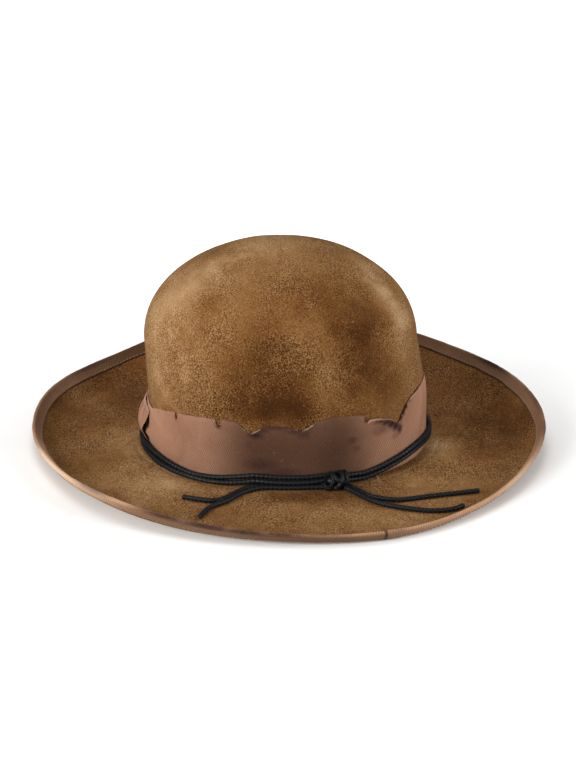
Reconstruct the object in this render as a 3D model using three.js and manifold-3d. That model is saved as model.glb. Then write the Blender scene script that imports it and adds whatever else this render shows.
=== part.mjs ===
// Wide-brimmed felt hat with an uncreased round crown, resting on its brim.
// Millimetres. +Z up, -Y is the wearer's front, +X the wearer's left, the floor is z = 0.

import * as THREE from 'three';
import { mergeVertices } from 'three/addons/utils/BufferGeometryUtils.js';
import Module from 'manifold-3d';

// Felt body: one hollow piece, crown and brim together
const HEAD_HALF_WIDTH = 83.0;
const HEAD_HALF_LENGTH = 101.5;
const FELT = 2.2;
const FOLD_RADIUS = 1.0;
const DOME_BASE = 84.0;
const DOME_HEIGHT = 71.2;
const AZIMUTH_STEPS = 54;
const DOME_STEPS = 7;
const CURL_STEPS = 3;
const DIAGONAL = Math.SQRT1_2;

// Middle of the crown's foot, and of the ovals from which the brim's reach is measured
const CROWN_MIDDLE = { x: 1.3, y: -1.0 };
const BRIM_MIDDLE = { x: 1.3, y: 1.1 };

// Ribbon, and the gap that parts every piece from the next
const RIBBON = 1.0;
const GAP = 0.3;
const BINDING_WIDTH = 8.5;
const BINDING_STEPS = 3;
const BINDING_LEAST_SLOPE = 0.1;
const NOSE_ROUNDING = 0.7;
const FLOOR_CLEARANCE = 0.3;
const BAND_END = 644;
const BAND_FOOT = 3.1;
const BAND_STEP = 6;
const LAP_BEGINS = 592;
const LAP_ENDS = 606;

// Waxed cord
const CORD_RADIUS = 1.65;
const CORD_SIDES = 8;
const WRAP_STEPS = 52;
const TAIL_STEPS = 15;
const TIP_RADIUS_SHARE = 0.6;
const TIP_LENGTH_SHARE = 0.4;

// Knot: half sizes along the cord, outward from the crown and upward
const KNOT_AZIMUTH = 19.2;
const KNOT_OUT = 8.0;
const KNOT_HEIGHT = 8.7;
const KNOT_LEAN = 16;
const KNOT_CORE = { along: 6.2, outward: 4.9, up: 5.2 };
const KNOT_CORE_COLUMNS = 12;
const KNOT_CORE_ROWS = 8;
const KNOT_CLEARANCE_SCALE = 1.05;
const LOOP_STEPS = 14;

// Loops drawn tight over the knot's core: place along it, half sizes, and turns in degrees
const KNOT_LOOPS = [
  { along: 2.9, outward: 4.1, up: 4.4, tilt: 14, turn: 10, lean: 0 },
  { along: -2.9, outward: 4.0, up: 4.2, tilt: -10, turn: -12, lean: 0 },
  { along: 0.2, outward: 4.5, up: 4.5, tilt: 38, turn: 6, lean: 8 },
];

// Outer face of the crown wall, from the brim up: half sizes and shift of the oval's middle
const CROWN_ROWS = [
  { height: 2.2, halfLength: 101.5, halfWidth: 83.0, shift: 0.0 },
  { height: 40, halfLength: 100.8, halfWidth: 82.7, shift: 0.0 },
  { height: 62, halfLength: 100.2, halfWidth: 82.3, shift: -2.2 },
  { height: 84, halfLength: 99.0, halfWidth: 81.5, shift: -4.7 },
];

// Rolled brim edge: how far the lip stands out from the head oval, how high it is
// and how steeply the felt stands at the lip
const EDGE_ROWS = [
  { azimuth: 0, reach: 87.6, lip: 9.9, slope: 74 },
  { azimuth: 22.5, reach: 91.2, lip: 8.6, slope: 71 },
  { azimuth: 45, reach: 86.6, lip: 9.8, slope: 54 },
  { azimuth: 67.5, reach: 83.7, lip: 14.2, slope: 61 },
  { azimuth: 90, reach: 85.0, lip: 19.1, slope: 69 },
  { azimuth: 112.5, reach: 84.9, lip: 23.9, slope: 64 },
  { azimuth: 135, reach: 86.2, lip: 25.5, slope: 56 },
  { azimuth: 157.5, reach: 88.7, lip: 30.6, slope: 54 },
  { azimuth: 180, reach: 89.9, lip: 31.3, slope: 55 },
  { azimuth: 202.5, reach: 92.4, lip: 28.9, slope: 55 },
  { azimuth: 225, reach: 92.5, lip: 18.7, slope: 56 },
  { azimuth: 247.5, reach: 93.0, lip: 16.2, slope: 64 },
  { azimuth: 270, reach: 86.5, lip: 14.0, slope: 66 },
  { azimuth: 292.5, reach: 82.7, lip: 14.1, slope: 57 },
  { azimuth: 315, reach: 85.4, lip: 16.6, slope: 68 },
  { azimuth: 337.5, reach: 85.9, lip: 13.0, slope: 75 },
  { azimuth: 360, reach: 87.6, lip: 9.9, slope: 74 },
];

// Torn upper edge of the band; the azimuth runs on past 360 to the lapped end
const TORN_EDGE = [
  { azimuth: 256, top: 41.0 },
  { azimuth: 272, top: 37.5 },
  { azimuth: 287, top: 36.7 },
  { azimuth: 294.5, top: 40.3 },
  { azimuth: 300, top: 42.5 },
  { azimuth: 309.2, top: 45.9 },
  { azimuth: 310.1, top: 41.0 },
  { azimuth: 311.8, top: 46.2 },
  { azimuth: 322.5, top: 48.1 },
  { azimuth: 331, top: 49.4 },
  { azimuth: 332.5, top: 44.8 },
  { azimuth: 334.4, top: 50.1 },
  { azimuth: 340.7, top: 48.9 },
  { azimuth: 344.2, top: 44.1 },
  { azimuth: 346.7, top: 42.6 },
  { azimuth: 351.4, top: 48.1 },
  { azimuth: 356.7, top: 48.6 },
  { azimuth: 363.5, top: 46.0 },
  { azimuth: 366, top: 44.8 },
  { azimuth: 370.8, top: 49.4 },
  { azimuth: 374.5, top: 51.6 },
  { azimuth: 380, top: 52.6 },
  { azimuth: 386, top: 52.5 },
  { azimuth: 393.5, top: 50.4 },
  { azimuth: 394.6, top: 45.3 },
  { azimuth: 402.6, top: 45.4 },
  { azimuth: 407.5, top: 41.8 },
  { azimuth: 411.3, top: 36.8 },
  { azimuth: 413.3, top: 42.4 },
  { azimuth: 417.3, top: 48.5 },
  { azimuth: 421.4, top: 51.2 },
  { azimuth: 428.8, top: 53.9 },
  { azimuth: 442, top: 53.7 },
  { azimuth: 470, top: 52.0 },
  { azimuth: 505, top: 53.2 },
  { azimuth: 512, top: 50.4 },
  { azimuth: 530, top: 52.6 },
  { azimuth: 560, top: 51.4 },
  { azimuth: 590, top: 53.0 },
  { azimuth: 612, top: 51.5 },
  { azimuth: 628, top: 50.2 },
  { azimuth: 636, top: 47.6 },
  { azimuth: 644, top: 50.0 },
];

// Heights at which the band is bent, the share of its own height that caps each,
// and how far the loose lapped end bulges out there
const BAND_ROWS = [
  { height: 3.1, share: 0.06, bulge: 0.0 },
  { height: 9.5, share: 0.2, bulge: 0.4 },
  { height: 15, share: 0.35, bulge: 3.4 },
  { height: 40, share: 0.8, bulge: 1.6 },
  { height: 99, share: 1, bulge: 0.0 },
];

// The two turns of cord round the crown, counter-clockwise from the knot back to it
const LOWER_WRAP = [
  { azimuth: 20.5, out: 6.4, height: 7.2 },
  { azimuth: 26, out: 3.8, height: 5.2 },
  { azimuth: 32, out: 3.4, height: 4.6 },
  { azimuth: 51, out: 3.4, height: 9.3 },
  { azimuth: 65, out: 3.4, height: 11.6 },
  { azimuth: 90, out: 3.4, height: 9.8 },
  { azimuth: 130, out: 3.4, height: 8.4 },
  { azimuth: 180, out: 3.4, height: 6.4 },
  { azimuth: 232, out: 3.6, height: 5.0 },
  { azimuth: 255, out: 5.2, height: 4.6 },
  { azimuth: 275, out: 5.7, height: 4.5 },
  { azimuth: 292, out: 5.5, height: 4.4 },
  { azimuth: 305, out: 6.6, height: 4.2 },
  { azimuth: 320, out: 7.3, height: 4.2 },
  { azimuth: 331, out: 6.9, height: 4.2 },
  { azimuth: 338, out: 5.4, height: 4.8 },
  { azimuth: 343, out: 4.8, height: 6.2 },
  { azimuth: 348, out: 4.7, height: 7.9 },
  { azimuth: 357, out: 5.1, height: 7.5 },
  { azimuth: 370, out: 5.2, height: 7.5 },
  { azimuth: 376, out: 5.7, height: 8.4 },
  { azimuth: 379, out: 6.4, height: 9.0 },
];
const UPPER_WRAP = [
  { azimuth: 20.5, out: 6.2, height: 10.2 },
  { azimuth: 26, out: 3.8, height: 9.0 },
  { azimuth: 32, out: 3.4, height: 8.4 },
  { azimuth: 51, out: 3.4, height: 13.1 },
  { azimuth: 65, out: 3.4, height: 15.4 },
  { azimuth: 90, out: 3.4, height: 13.6 },
  { azimuth: 130, out: 3.4, height: 12.2 },
  { azimuth: 180, out: 3.4, height: 10.2 },
  { azimuth: 232, out: 3.6, height: 8.8 },
  { azimuth: 255, out: 5.2, height: 8.4 },
  { azimuth: 275, out: 5.9, height: 8.3 },
  { azimuth: 292, out: 4.0, height: 7.9 },
  { azimuth: 305, out: 3.4, height: 6.6 },
  { azimuth: 320, out: 3.4, height: 4.9 },
  { azimuth: 331, out: 3.4, height: 6.2 },
  { azimuth: 338, out: 3.4, height: 8.4 },
  { azimuth: 343, out: 3.4, height: 10.0 },
  { azimuth: 348, out: 3.4, height: 11.5 },
  { azimuth: 357, out: 3.4, height: 10.9 },
  { azimuth: 370, out: 3.4, height: 10.8 },
  { azimuth: 376, out: 4.6, height: 11.6 },
  { azimuth: 379, out: 6.0, height: 11.6 },
];

// Loose cord ends on the brim, from inside the knot to the cut tip: x, y, z
const TAIL_RIGHT_LOWER = [
  [89.9, 37.6, 6.2], [92.7, 41.5, 4.6], [95.7, 44.3, 4.2], [98.9, 47.3, 4.2],
  [102.6, 50.2, 4.2], [106.1, 53.1, 4.2], [109.5, 56.3, 4.2], [112.5, 60.0, 4.2],
  [115.5, 64.1, 4.2], [119.1, 71.0, 4.2], [122.1, 78.7, 4.2], [124.7, 86.6, 4.2],
  [126.5, 94.6, 4.2], [126.9, 102.3, 4.3], [125.6, 110.1, 4.3], [122.9, 116.4, 4.4],
  [119.0, 121.2, 4.5],
];
const TAIL_RIGHT_UPPER = [
  [86.5, 38.7, 6.0], [89.1, 43.7, 4.5], [92.1, 46.9, 4.2], [95.6, 49.9, 4.2],
  [99.3, 52.9, 4.2], [102.7, 56.0, 4.2], [105.5, 59.9, 4.2], [107.5, 64.5, 4.2],
  [109.0, 69.5, 4.2], [109.9, 74.7, 4.2], [109.6, 79.9, 4.2], [107.6, 87.5, 4.2],
  [105.0, 95.9, 4.2], [102.9, 103.5, 4.2], [101.1, 111.1, 4.2], [98.9, 120.3, 4.3],
  [97.3, 127.3, 4.4], [95.9, 133.7, 4.6],
];
const TAIL_LEFT_LOWER = [
  [90.5, 32.6, 5.8], [90.6, 27.3, 4.6], [90.2, 21.6, 4.2], [90.5, 14.1, 4.2],
  [91.1, 6.6, 4.2], [91.3, -1.0, 4.2], [91.1, -8.6, 4.2], [90.7, -15.5, 4.2],
  [91.9, -21.3, 4.2], [95.1, -27.3, 4.2], [100.2, -33.1, 4.2], [106.3, -38.0, 4.2],
  [111.9, -42.3, 4.2], [115.7, -47.1, 4.2], [119.3, -51.5, 4.2], [124.1, -55.1, 4.2],
  [130.7, -58.1, 4.2], [136.9, -60.2, 4.2],
];
const TAIL_LEFT_UPPER = [
  [87.2, 32.1, 5.2], [86.6, 27.1, 4.4], [85.8, 20.8, 4.2], [86.8, 13.6, 4.2],
  [87.4, 6.3, 4.2], [87.6, -1.0, 4.2], [87.4, -8.3, 4.2], [87.0, -15.5, 4.2],
  [87.9, -21.5, 4.2], [91.2, -28.3, 4.2], [96.7, -34.7, 4.2], [102.7, -39.8, 4.2],
  [108.1, -44.5, 4.2], [111.1, -49.9, 4.2], [111.1, -55.5, 4.2], [109.5, -61.3, 4.2],
  [107.4, -67.2, 4.2], [105.5, -73.2, 4.2],
];

const COLOURS = {
  felt: 0x94673a,
  binding: 0x8a604a,
  band: 0x8b6656,
  cord: 0x1b1c1e,
};

const radians = (degrees) => (degrees * Math.PI) / 180;

// Value of a table column at an azimuth, straight between rows
function straight(rows, key, column, at) {
  let index = rows.findIndex((row) => row[key] >= at);
  if (index < 0) {
    index = rows.length - 1;
  }
  index = Math.max(index, 1);
  const before = rows[index - 1];
  const after = rows[index];
  const share = THREE.MathUtils.clamp((at - before[key]) / (after[key] - before[key]), 0, 1);
  return before[column] + (after[column] - before[column]) * share;
}

// Slope of a column at a row; the first and last row of a closed table are the same place
function slopeAt(rows, column, index, closed) {
  const last = rows.length - 1;
  if (closed && (index === 0 || index === last)) {
    const turn = rows[1].azimuth + 360 - rows[last - 1].azimuth;
    return (rows[1][column] - rows[last - 1][column]) / turn;
  }
  const earlier = rows[Math.max(index - 1, 0)];
  const later = rows[Math.min(index + 1, last)];
  return (later[column] - earlier[column]) / (later.azimuth - earlier.azimuth);
}

// The same value with a smooth curve through the rows; a closed table repeats after 360
function smooth(rows, column, at, closed) {
  const last = rows.length - 1;
  const azimuth = closed ? ((at % 360) + 360) % 360 : at;
  const found = rows.findIndex((row) => row.azimuth > azimuth);
  const index = Math.max(found < 0 ? last : found, 1);
  const before = rows[index - 1];
  const after = rows[index];
  const span = after.azimuth - before.azimuth;
  const rise = after[column] - before[column];
  const slopeIn = slopeAt(rows, column, index - 1, closed);
  const slopeOut = slopeAt(rows, column, index, closed);
  const s = (azimuth - before.azimuth) / span;
  const ease = s * s * (3 - 2 * s);
  const leave = s * (1 - s) * (1 - s) * span;
  const arrive = s * s * (s - 1) * span;
  return before[column] + rise * ease + slopeIn * leave + slopeOut * arrive;
}

// Closed solid from rings with the same number of points each; open chains get end caps
function ringSolid(rings, joined, tips = []) {
  const sides = rings[0].length;
  const positions = rings.flat().flatMap((point) => [point.x, point.y, point.z]);
  const faces = [];
  const links = joined ? rings.length : rings.length - 1;
  for (let ring = 0; ring < links; ring += 1) {
    const next = (ring + 1) % rings.length;
    for (let side = 0; side < sides; side += 1) {
      const beside = (side + 1) % sides;
      const a = ring * sides + side;
      const b = ring * sides + beside;
      const c = next * sides + beside;
      const d = next * sides + side;
      faces.push(a, b, c, a, c, d);
    }
  }
  if (!joined) {
    for (const [ring, tip, flip] of [
      [0, tips[0], true],
      [rings.length - 1, tips[1], false],
    ]) {
      const middle = tip ?? averagePoint(rings[ring]);
      const centre = positions.length / 3;
      positions.push(middle.x, middle.y, middle.z);
      for (let side = 0; side < sides; side += 1) {
        const a = ring * sides + side;
        const b = ring * sides + ((side + 1) % sides);
        if (flip) {
          faces.push(b, a, centre);
        } else {
          faces.push(a, b, centre);
        }
      }
    }
  }
  const geometry = new THREE.BufferGeometry();
  geometry.setAttribute('position', new THREE.Float32BufferAttribute(positions, 3));
  geometry.setIndex(signedVolume(positions, faces) < 0 ? faces.toReversed() : faces);
  return geometry;
}

function averagePoint(points) {
  const sum = points.reduce((total, point) => total.add(point), new THREE.Vector3());
  return sum.divideScalar(points.length);
}

function signedVolume(positions, faces) {
  const corner = (index) => new THREE.Vector3().fromArray(positions, index * 3);
  let volume = 0;
  for (let face = 0; face < faces.length; face += 3) {
    const a = corner(faces[face]);
    const b = corner(faces[face + 1]);
    const c = corner(faces[face + 2]);
    volume += a.dot(b.cross(c)) / 6;
  }
  return volume;
}

// Crown wall: a point on an oval at a height, moved outward from the felt's outer face
function crownPoint(azimuth, height, out) {
  const halfWidth = straight(CROWN_ROWS, 'height', 'halfWidth', height) + out;
  const halfLength = straight(CROWN_ROWS, 'height', 'halfLength', height) + out;
  const shift = straight(CROWN_ROWS, 'height', 'shift', height);
  const angle = radians(azimuth);
  return new THREE.Vector3(
    CROWN_MIDDLE.x + halfWidth * Math.cos(angle),
    CROWN_MIDDLE.y + shift + halfLength * Math.sin(angle),
    height,
  );
}

// Dome above the wall: lift 0 at the wall, 90 at the top
function domePoint(azimuth, lift, out) {
  const rim = CROWN_ROWS[CROWN_ROWS.length - 1];
  const angle = radians(azimuth);
  const spread = Math.cos(radians(lift));
  return new THREE.Vector3(
    CROWN_MIDDLE.x + (rim.halfWidth + out) * spread * Math.cos(angle),
    CROWN_MIDDLE.y + rim.shift + (rim.halfLength + out) * spread * Math.sin(angle),
    DOME_BASE + (DOME_HEIGHT + out) * Math.sin(radians(lift)),
  );
}

// Middle of the felt in the rolled edge: radius of the roll and where it begins
function curlAt(azimuth) {
  const nose = FELT / 2 + GAP + RIBBON;
  const bend = radians(smooth(EDGE_ROWS, 'slope', azimuth, true));
  const rise = smooth(EDGE_ROWS, 'lip', azimuth, true) - nose - FELT / 2;
  const radius = rise / (1 - Math.cos(bend));
  const flatReach = smooth(EDGE_ROWS, 'reach', azimuth, true) - radius * Math.sin(bend);
  return { bend, radius, flatReach };
}

// Point in the roll at a slope; inward is measured toward the inside of the roll,
// beyond along the felt past that slope
function curlPoint(azimuth, curl, slope, inward, beyond = 0) {
  const radius = curl.radius - inward;
  const reach = curl.flatReach + radius * Math.sin(slope) + beyond * Math.cos(slope);
  const angle = radians(azimuth);
  const height = FELT / 2 + curl.radius - radius * Math.cos(slope) + beyond * Math.sin(slope);
  return new THREE.Vector3(
    BRIM_MIDDLE.x + (HEAD_HALF_WIDTH + reach) * Math.cos(angle),
    BRIM_MIDDLE.y + (HEAD_HALF_LENGTH + reach) * Math.sin(angle),
    height,
  );
}

// Slopes at which the roll is bent: up to the ribbon, then along it to the lip
function curlSlopes(curl) {
  const ribbonStart = Math.max(curl.bend - BINDING_WIDTH / curl.radius, BINDING_LEAST_SLOPE);
  const slopes = [];
  for (let step = 0; step < CURL_STEPS; step += 1) {
    slopes.push((ribbonStart * step) / CURL_STEPS);
  }
  for (let step = 0; step < BINDING_STEPS; step += 1) {
    slopes.push(ribbonStart + ((curl.bend - ribbonStart) * step) / BINDING_STEPS);
  }
  return slopes;
}

// One section of the felt from the top of the dome down, out to the lip and back inside
function feltSection(azimuth) {
  const curl = curlAt(azimuth);
  const foldTop = FELT + FOLD_RADIUS;
  const edgeBeyond = FELT / 2;
  const lifts = [];
  for (let step = DOME_STEPS - 1; step > 0; step -= 1) {
    lifts.push((step * 90) / DOME_STEPS);
  }
  const wallHeights = CROWN_ROWS.slice(1).map((row) => row.height).toReversed();
  const slopes = curlSlopes(curl);
  const outerFace = [
    ...lifts.map((lift) => domePoint(azimuth, lift, 0)),
    ...wallHeights.map((height) => crownPoint(azimuth, height, 0)),
    crownPoint(azimuth, foldTop, 0),
    crownPoint(azimuth, foldTop, FOLD_RADIUS).setZ(FELT),
    ...slopes.map((slope) => curlPoint(azimuth, curl, slope, FELT / 2)),
    curlPoint(azimuth, curl, curl.bend, FELT / 2, edgeBeyond),
  ];
  const foldOuter = FOLD_RADIUS + FELT;
  const innerFace = [
    curlPoint(azimuth, curl, curl.bend, -FELT / 2, edgeBeyond),
    ...slopes.toReversed().map((slope) => curlPoint(azimuth, curl, slope, -FELT / 2)),
    crownPoint(azimuth, foldTop, FOLD_RADIUS).setZ(0),
    crownPoint(azimuth, foldTop, FOLD_RADIUS - foldOuter * DIAGONAL)
      .setZ(foldTop - foldOuter * DIAGONAL),
    crownPoint(azimuth, foldTop, -FELT),
    ...wallHeights.toReversed().map((height) => crownPoint(azimuth, height, -FELT)),
    ...lifts.toReversed().map((lift) => domePoint(azimuth, lift, -FELT)),
  ];
  return [...outerFace, ...innerFace];
}

// Turn a list of sections into rings, one ring for each place along the section
function ringsOf(sections) {
  return sections[0].map((_, place) => sections.map((section) => section[place]));
}

function azimuths() {
  return Array.from({ length: AZIMUTH_STEPS }, (_, step) => (step * 360) / AZIMUTH_STEPS);
}

function makeFelt() {
  const rings = ringsOf(azimuths().map(feltSection));
  return ringSolid(rings, false, [domePoint(0, 90, 0), domePoint(0, 90, -FELT)]);
}

// Ribbon folded over the lip: both legs, with a rounded nose past the felt's edge
function bindingSection(azimuth) {
  const curl = curlAt(azimuth);
  const near = FELT / 2 + GAP;
  const far = near + RIBBON;
  const byWidth = curl.bend - BINDING_WIDTH / curl.radius;
  const overFloor = (curl.radius + FELT / 2 - FLOOR_CLEARANCE) / (curl.radius + far);
  const outsideStart = Math.max(byWidth, Math.acos(overFloor));
  const insideStart = Math.max(byWidth, 0);
  const leg = (start, inward) => Array.from({ length: BINDING_STEPS }, (_, step) => {
    const slope = start + ((curl.bend - start) * step) / BINDING_STEPS;
    return curlPoint(azimuth, curl, slope, inward);
  });
  const lip = (inward, beyond) => curlPoint(azimuth, curl, curl.bend, inward, beyond);
  const feltEnd = FELT / 2;
  return [
    ...leg(insideStart, far),
    lip(far, feltEnd),
    lip(far * NOSE_ROUNDING, feltEnd + near),
    lip(0, feltEnd + GAP + RIBBON),
    lip(-far * NOSE_ROUNDING, feltEnd + near),
    lip(-far, feltEnd),
    ...leg(outsideStart, -far).toReversed(),
    ...leg(outsideStart, -near),
    lip(-near, feltEnd + GAP),
    lip(near, feltEnd + GAP),
    ...leg(insideStart, near).toReversed(),
  ];
}

function makeBinding() {
  return ringSolid(azimuths().map(bindingSection), true);
}

// How far the ribbon stands off where it laps over its own start
function lapAt(azimuth) {
  return THREE.MathUtils.smoothstep(azimuth, LAP_BEGINS, LAP_ENDS);
}

function bulgeAt(azimuth) {
  return THREE.MathUtils.smoothstep(azimuth, LAP_ENDS, BAND_END);
}

function bandSection(azimuth) {
  const top = straight(TORN_EDGE, 'azimuth', 'top', azimuth);
  const standOff = GAP + lapAt(azimuth) * (RIBBON + GAP);
  const face = (thickness) => BAND_ROWS.map((row) => {
    const height = Math.max(BAND_FOOT, Math.min(row.height, top * row.share));
    return crownPoint(azimuth, height, standOff + row.bulge * bulgeAt(azimuth) + thickness);
  });
  return [...face(0), ...face(RIBBON).toReversed()];
}

function makeBand() {
  const stops = [];
  for (let row = 1; row < TORN_EDGE.length; row += 1) {
    const from = TORN_EDGE[row - 1].azimuth;
    const span = TORN_EDGE[row].azimuth - from;
    const parts = Math.ceil(span / BAND_STEP);
    for (let part = 0; part < parts; part += 1) {
      stops.push(from + (span * part) / parts);
    }
  }
  stops.push(BAND_END);
  return ringSolid(stops.map(bandSection), false);
}

// Round cord along a route; a cut tip is drawn in a little, as a sealed end is
function cordSolid(route, steps, sealedTip) {
  const curve = new THREE.CatmullRomCurve3(route, false, 'centripetal');
  const points = curve.getSpacedPoints(steps);
  const up = new THREE.Vector3(0, 0, 1);
  const ringAt = (index, radius, ahead) => {
    const before = points[Math.max(index - 1, 0)];
    const after = points[Math.min(index + 1, steps)];
    const along = after.clone().sub(before).normalize();
    const side = up.clone().cross(along).normalize();
    const top = along.clone().cross(side);
    const middle = points[index].clone().addScaledVector(along, ahead);
    return Array.from({ length: CORD_SIDES }, (_, corner) => {
      const angle = (2 * Math.PI * corner) / CORD_SIDES;
      return middle.clone()
        .addScaledVector(side, radius * Math.cos(angle))
        .addScaledVector(top, radius * Math.sin(angle));
    });
  };
  const rings = points.map((_, index) => ringAt(index, CORD_RADIUS, 0));
  if (sealedTip) {
    rings.push(ringAt(steps, CORD_RADIUS * TIP_RADIUS_SHARE, CORD_RADIUS * TIP_LENGTH_SHARE));
  }
  return ringSolid(rings, false);
}

function wrapRoute(rows) {
  const first = rows[0].azimuth;
  const last = rows[rows.length - 1].azimuth;
  const count = WRAP_STEPS * 2;
  return Array.from({ length: count + 1 }, (_, step) => {
    const azimuth = first + ((last - first) * step) / count;
    const height = smooth(rows, 'height', azimuth, false);
    const out = smooth(rows, 'out', azimuth, false);
    return crownPoint(azimuth, FELT, out).setZ(height);
  });
}

function tailRoute(points) {
  return points.map(([x, y, z]) => new THREE.Vector3(x, y, z));
}

// Solids that can be joined and cut, for the knot and the cord ends that face it
const { Manifold, Mesh } = await Module().then((library) => {
  library.setup();
  return library;
});

function toManifold(geometry) {
  return new Manifold(new Mesh({
    numProp: 3,
    vertProperties: new Float32Array(geometry.attributes.position.array),
    triVerts: new Uint32Array(geometry.index.array),
  }));
}

function toGeometry(solid) {
  const { vertProperties, triVerts } = solid.getMesh();
  const geometry = new THREE.BufferGeometry();
  geometry.setAttribute('position', new THREE.Float32BufferAttribute(vertProperties, 3));
  geometry.setIndex(Array.from(triVerts));
  return geometry;
}

// One loop of the knot: an oval ring of cord tilted its own way
function knotLoop(loop) {
  const turn = new THREE.Euler(radians(loop.lean), radians(loop.tilt), radians(loop.turn));
  const middle = new THREE.Vector3(loop.along, 0, 0);
  const rings = [];
  for (let step = 0; step < LOOP_STEPS; step += 1) {
    const angle = (2 * Math.PI * step) / LOOP_STEPS;
    const away = new THREE.Vector3(0, Math.cos(angle), Math.sin(angle));
    const centre = new THREE.Vector3(0, loop.outward * away.y, loop.up * away.z);
    const ring = [];
    for (let corner = 0; corner < CORD_SIDES; corner += 1) {
      const round = (2 * Math.PI * corner) / CORD_SIDES;
      const point = centre.clone()
        .addScaledVector(away, CORD_RADIUS * Math.cos(round))
        .add(new THREE.Vector3(CORD_RADIUS * Math.sin(round), 0, 0));
      ring.push(point.applyEuler(turn).add(middle));
    }
    rings.push(ring);
  }
  return ringSolid(rings, true);
}

function makeKnot() {
  const core = new THREE.SphereGeometry(1, KNOT_CORE_COLUMNS, KNOT_CORE_ROWS);
  core.scale(KNOT_CORE.along, KNOT_CORE.outward, KNOT_CORE.up);
  core.deleteAttribute('normal');
  core.deleteAttribute('uv');
  let solid = toManifold(mergeVertices(core));
  for (const loop of KNOT_LOOPS) {
    solid = solid.add(toManifold(knotLoop(loop)));
  }
  return solid;
}

// Stand the knot against the band, its local x along the cord and y outward
function placeKnot(solid, scale) {
  const middle = crownPoint(KNOT_AZIMUTH, FELT, KNOT_OUT).setZ(KNOT_HEIGHT);
  return solid.scale(scale)
    .rotate([0, 0, KNOT_LEAN - 90])
    .translate([middle.x, middle.y, middle.z]);
}

// A cord that runs into the knot ends just short of the knot's own surface
function outsideKnot(geometry, knotSpace) {
  const pieces = toManifold(geometry).subtract(knotSpace).decompose();
  pieces.sort((a, b) => b.volume() - a.volume());
  return toGeometry(pieces[0]);
}

const group = new THREE.Group();
group.name = 'open_crown_hat';

function addPiece(name, geometry, colour, roughness) {
  const material = new THREE.MeshStandardMaterial({ color: colour, roughness });
  const mesh = new THREE.Mesh(geometry, material);
  mesh.name = name;
  group.add(mesh);
}

const knot = makeKnot();
const knotSpace = placeKnot(knot, KNOT_CLEARANCE_SCALE);
const wraps = { cord_wrap_lower: LOWER_WRAP, cord_wrap_upper: UPPER_WRAP };
const tails = {
  tail_right_lower: TAIL_RIGHT_LOWER,
  tail_right_upper: TAIL_RIGHT_UPPER,
  tail_left_lower: TAIL_LEFT_LOWER,
  tail_left_upper: TAIL_LEFT_UPPER,
};

addPiece('felt_body', makeFelt(), COLOURS.felt, 0.9);
addPiece('brim_binding', makeBinding(), COLOURS.binding, 0.8);
addPiece('hat_band', makeBand(), COLOURS.band, 0.8);
addPiece('cord_knot', toGeometry(placeKnot(knot, 1)), COLOURS.cord, 0.5);
for (const [name, rows] of Object.entries(wraps)) {
  const cord = cordSolid(wrapRoute(rows), WRAP_STEPS, false);
  addPiece(name, outsideKnot(cord, knotSpace), COLOURS.cord, 0.5);
}
for (const [name, points] of Object.entries(tails)) {
  const cord = cordSolid(tailRoute(points), TAIL_STEPS, true);
  addPiece(name, outsideKnot(cord, knotSpace), COLOURS.cord, 0.5);
}

export default group;
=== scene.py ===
import math

import bpy
import numpy as np
from mathutils import Matrix, Vector, noise


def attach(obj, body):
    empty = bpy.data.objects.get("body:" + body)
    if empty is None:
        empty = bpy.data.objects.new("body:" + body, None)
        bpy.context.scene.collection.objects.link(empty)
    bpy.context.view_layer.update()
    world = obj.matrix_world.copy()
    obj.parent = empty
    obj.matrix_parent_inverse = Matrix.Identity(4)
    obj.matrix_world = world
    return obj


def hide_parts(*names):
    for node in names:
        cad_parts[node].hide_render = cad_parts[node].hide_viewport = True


# A wide-brimmed felt hat with a round crown, a torn ribbon band and a knotted waxed cord.
# Tables are in millimetres and degrees, Blender's scene in metres. +Z is up, -Y the hat's
# front, +X its left side, where the knot is. Azimuth 0 is +X, 90 is +Y, the back.

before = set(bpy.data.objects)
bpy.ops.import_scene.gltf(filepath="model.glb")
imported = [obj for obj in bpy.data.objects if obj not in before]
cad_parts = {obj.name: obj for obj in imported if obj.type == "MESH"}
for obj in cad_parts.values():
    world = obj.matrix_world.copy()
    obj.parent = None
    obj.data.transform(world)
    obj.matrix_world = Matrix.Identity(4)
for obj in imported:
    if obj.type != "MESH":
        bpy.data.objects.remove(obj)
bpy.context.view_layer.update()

MM = 0.001

# Objects and aims


def add_object(name, data):
    made = bpy.data.objects.new(name, data)
    bpy.context.scene.collection.objects.link(made)
    return made


def aimed(place, aim, scale=1.0):
    """The matrix of a camera or lamp at a place, turned towards its aim."""
    look = Vector(aim) - Vector(place)
    return Matrix.Translation(Vector(place) * scale) @ look.to_track_quat("-Z", "Y").to_matrix().to_4x4()


# Camera

VIEW_ELEVATION = 24.3
VIEW_DISTANCE = 1600.0
LENS_POINT = (1.3, 1.1, 6.5)
VIEW_TARGET = (-13.3, 0.0, 38.8)
LENS = 101.6


def make_camera():
    rise = math.radians(VIEW_ELEVATION)
    place = Vector(LENS_POINT) + VIEW_DISTANCE * Vector((math.cos(rise), 0, math.sin(rise)))
    data = bpy.data.cameras.new("camera")
    data.lens = LENS
    data.sensor_width = 36.0
    data.clip_start = 0.05
    data.clip_end = 60.0
    camera = add_object("camera", data)
    camera.matrix_world = aimed(place, VIEW_TARGET, MM)
    bpy.context.scene.camera = camera


make_camera()

# Sizes of the felt

HEAD_HALF_WIDTH = 83.0
HEAD_HALF_LENGTH = 101.5
FELT = 2.2
FOLD_RADIUS = 1.0
DOME_BASE = 84.0
DOME_HEIGHT = 71.2
CROWN_MIDDLE = (1.3, -1.0)
BRIM_MIDDLE = (1.3, 1.1)
ROLL_NOSE = 1.0
LIP_THINNING = 0.34
LIP_THIN_WIDTH = 14.0

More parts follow.
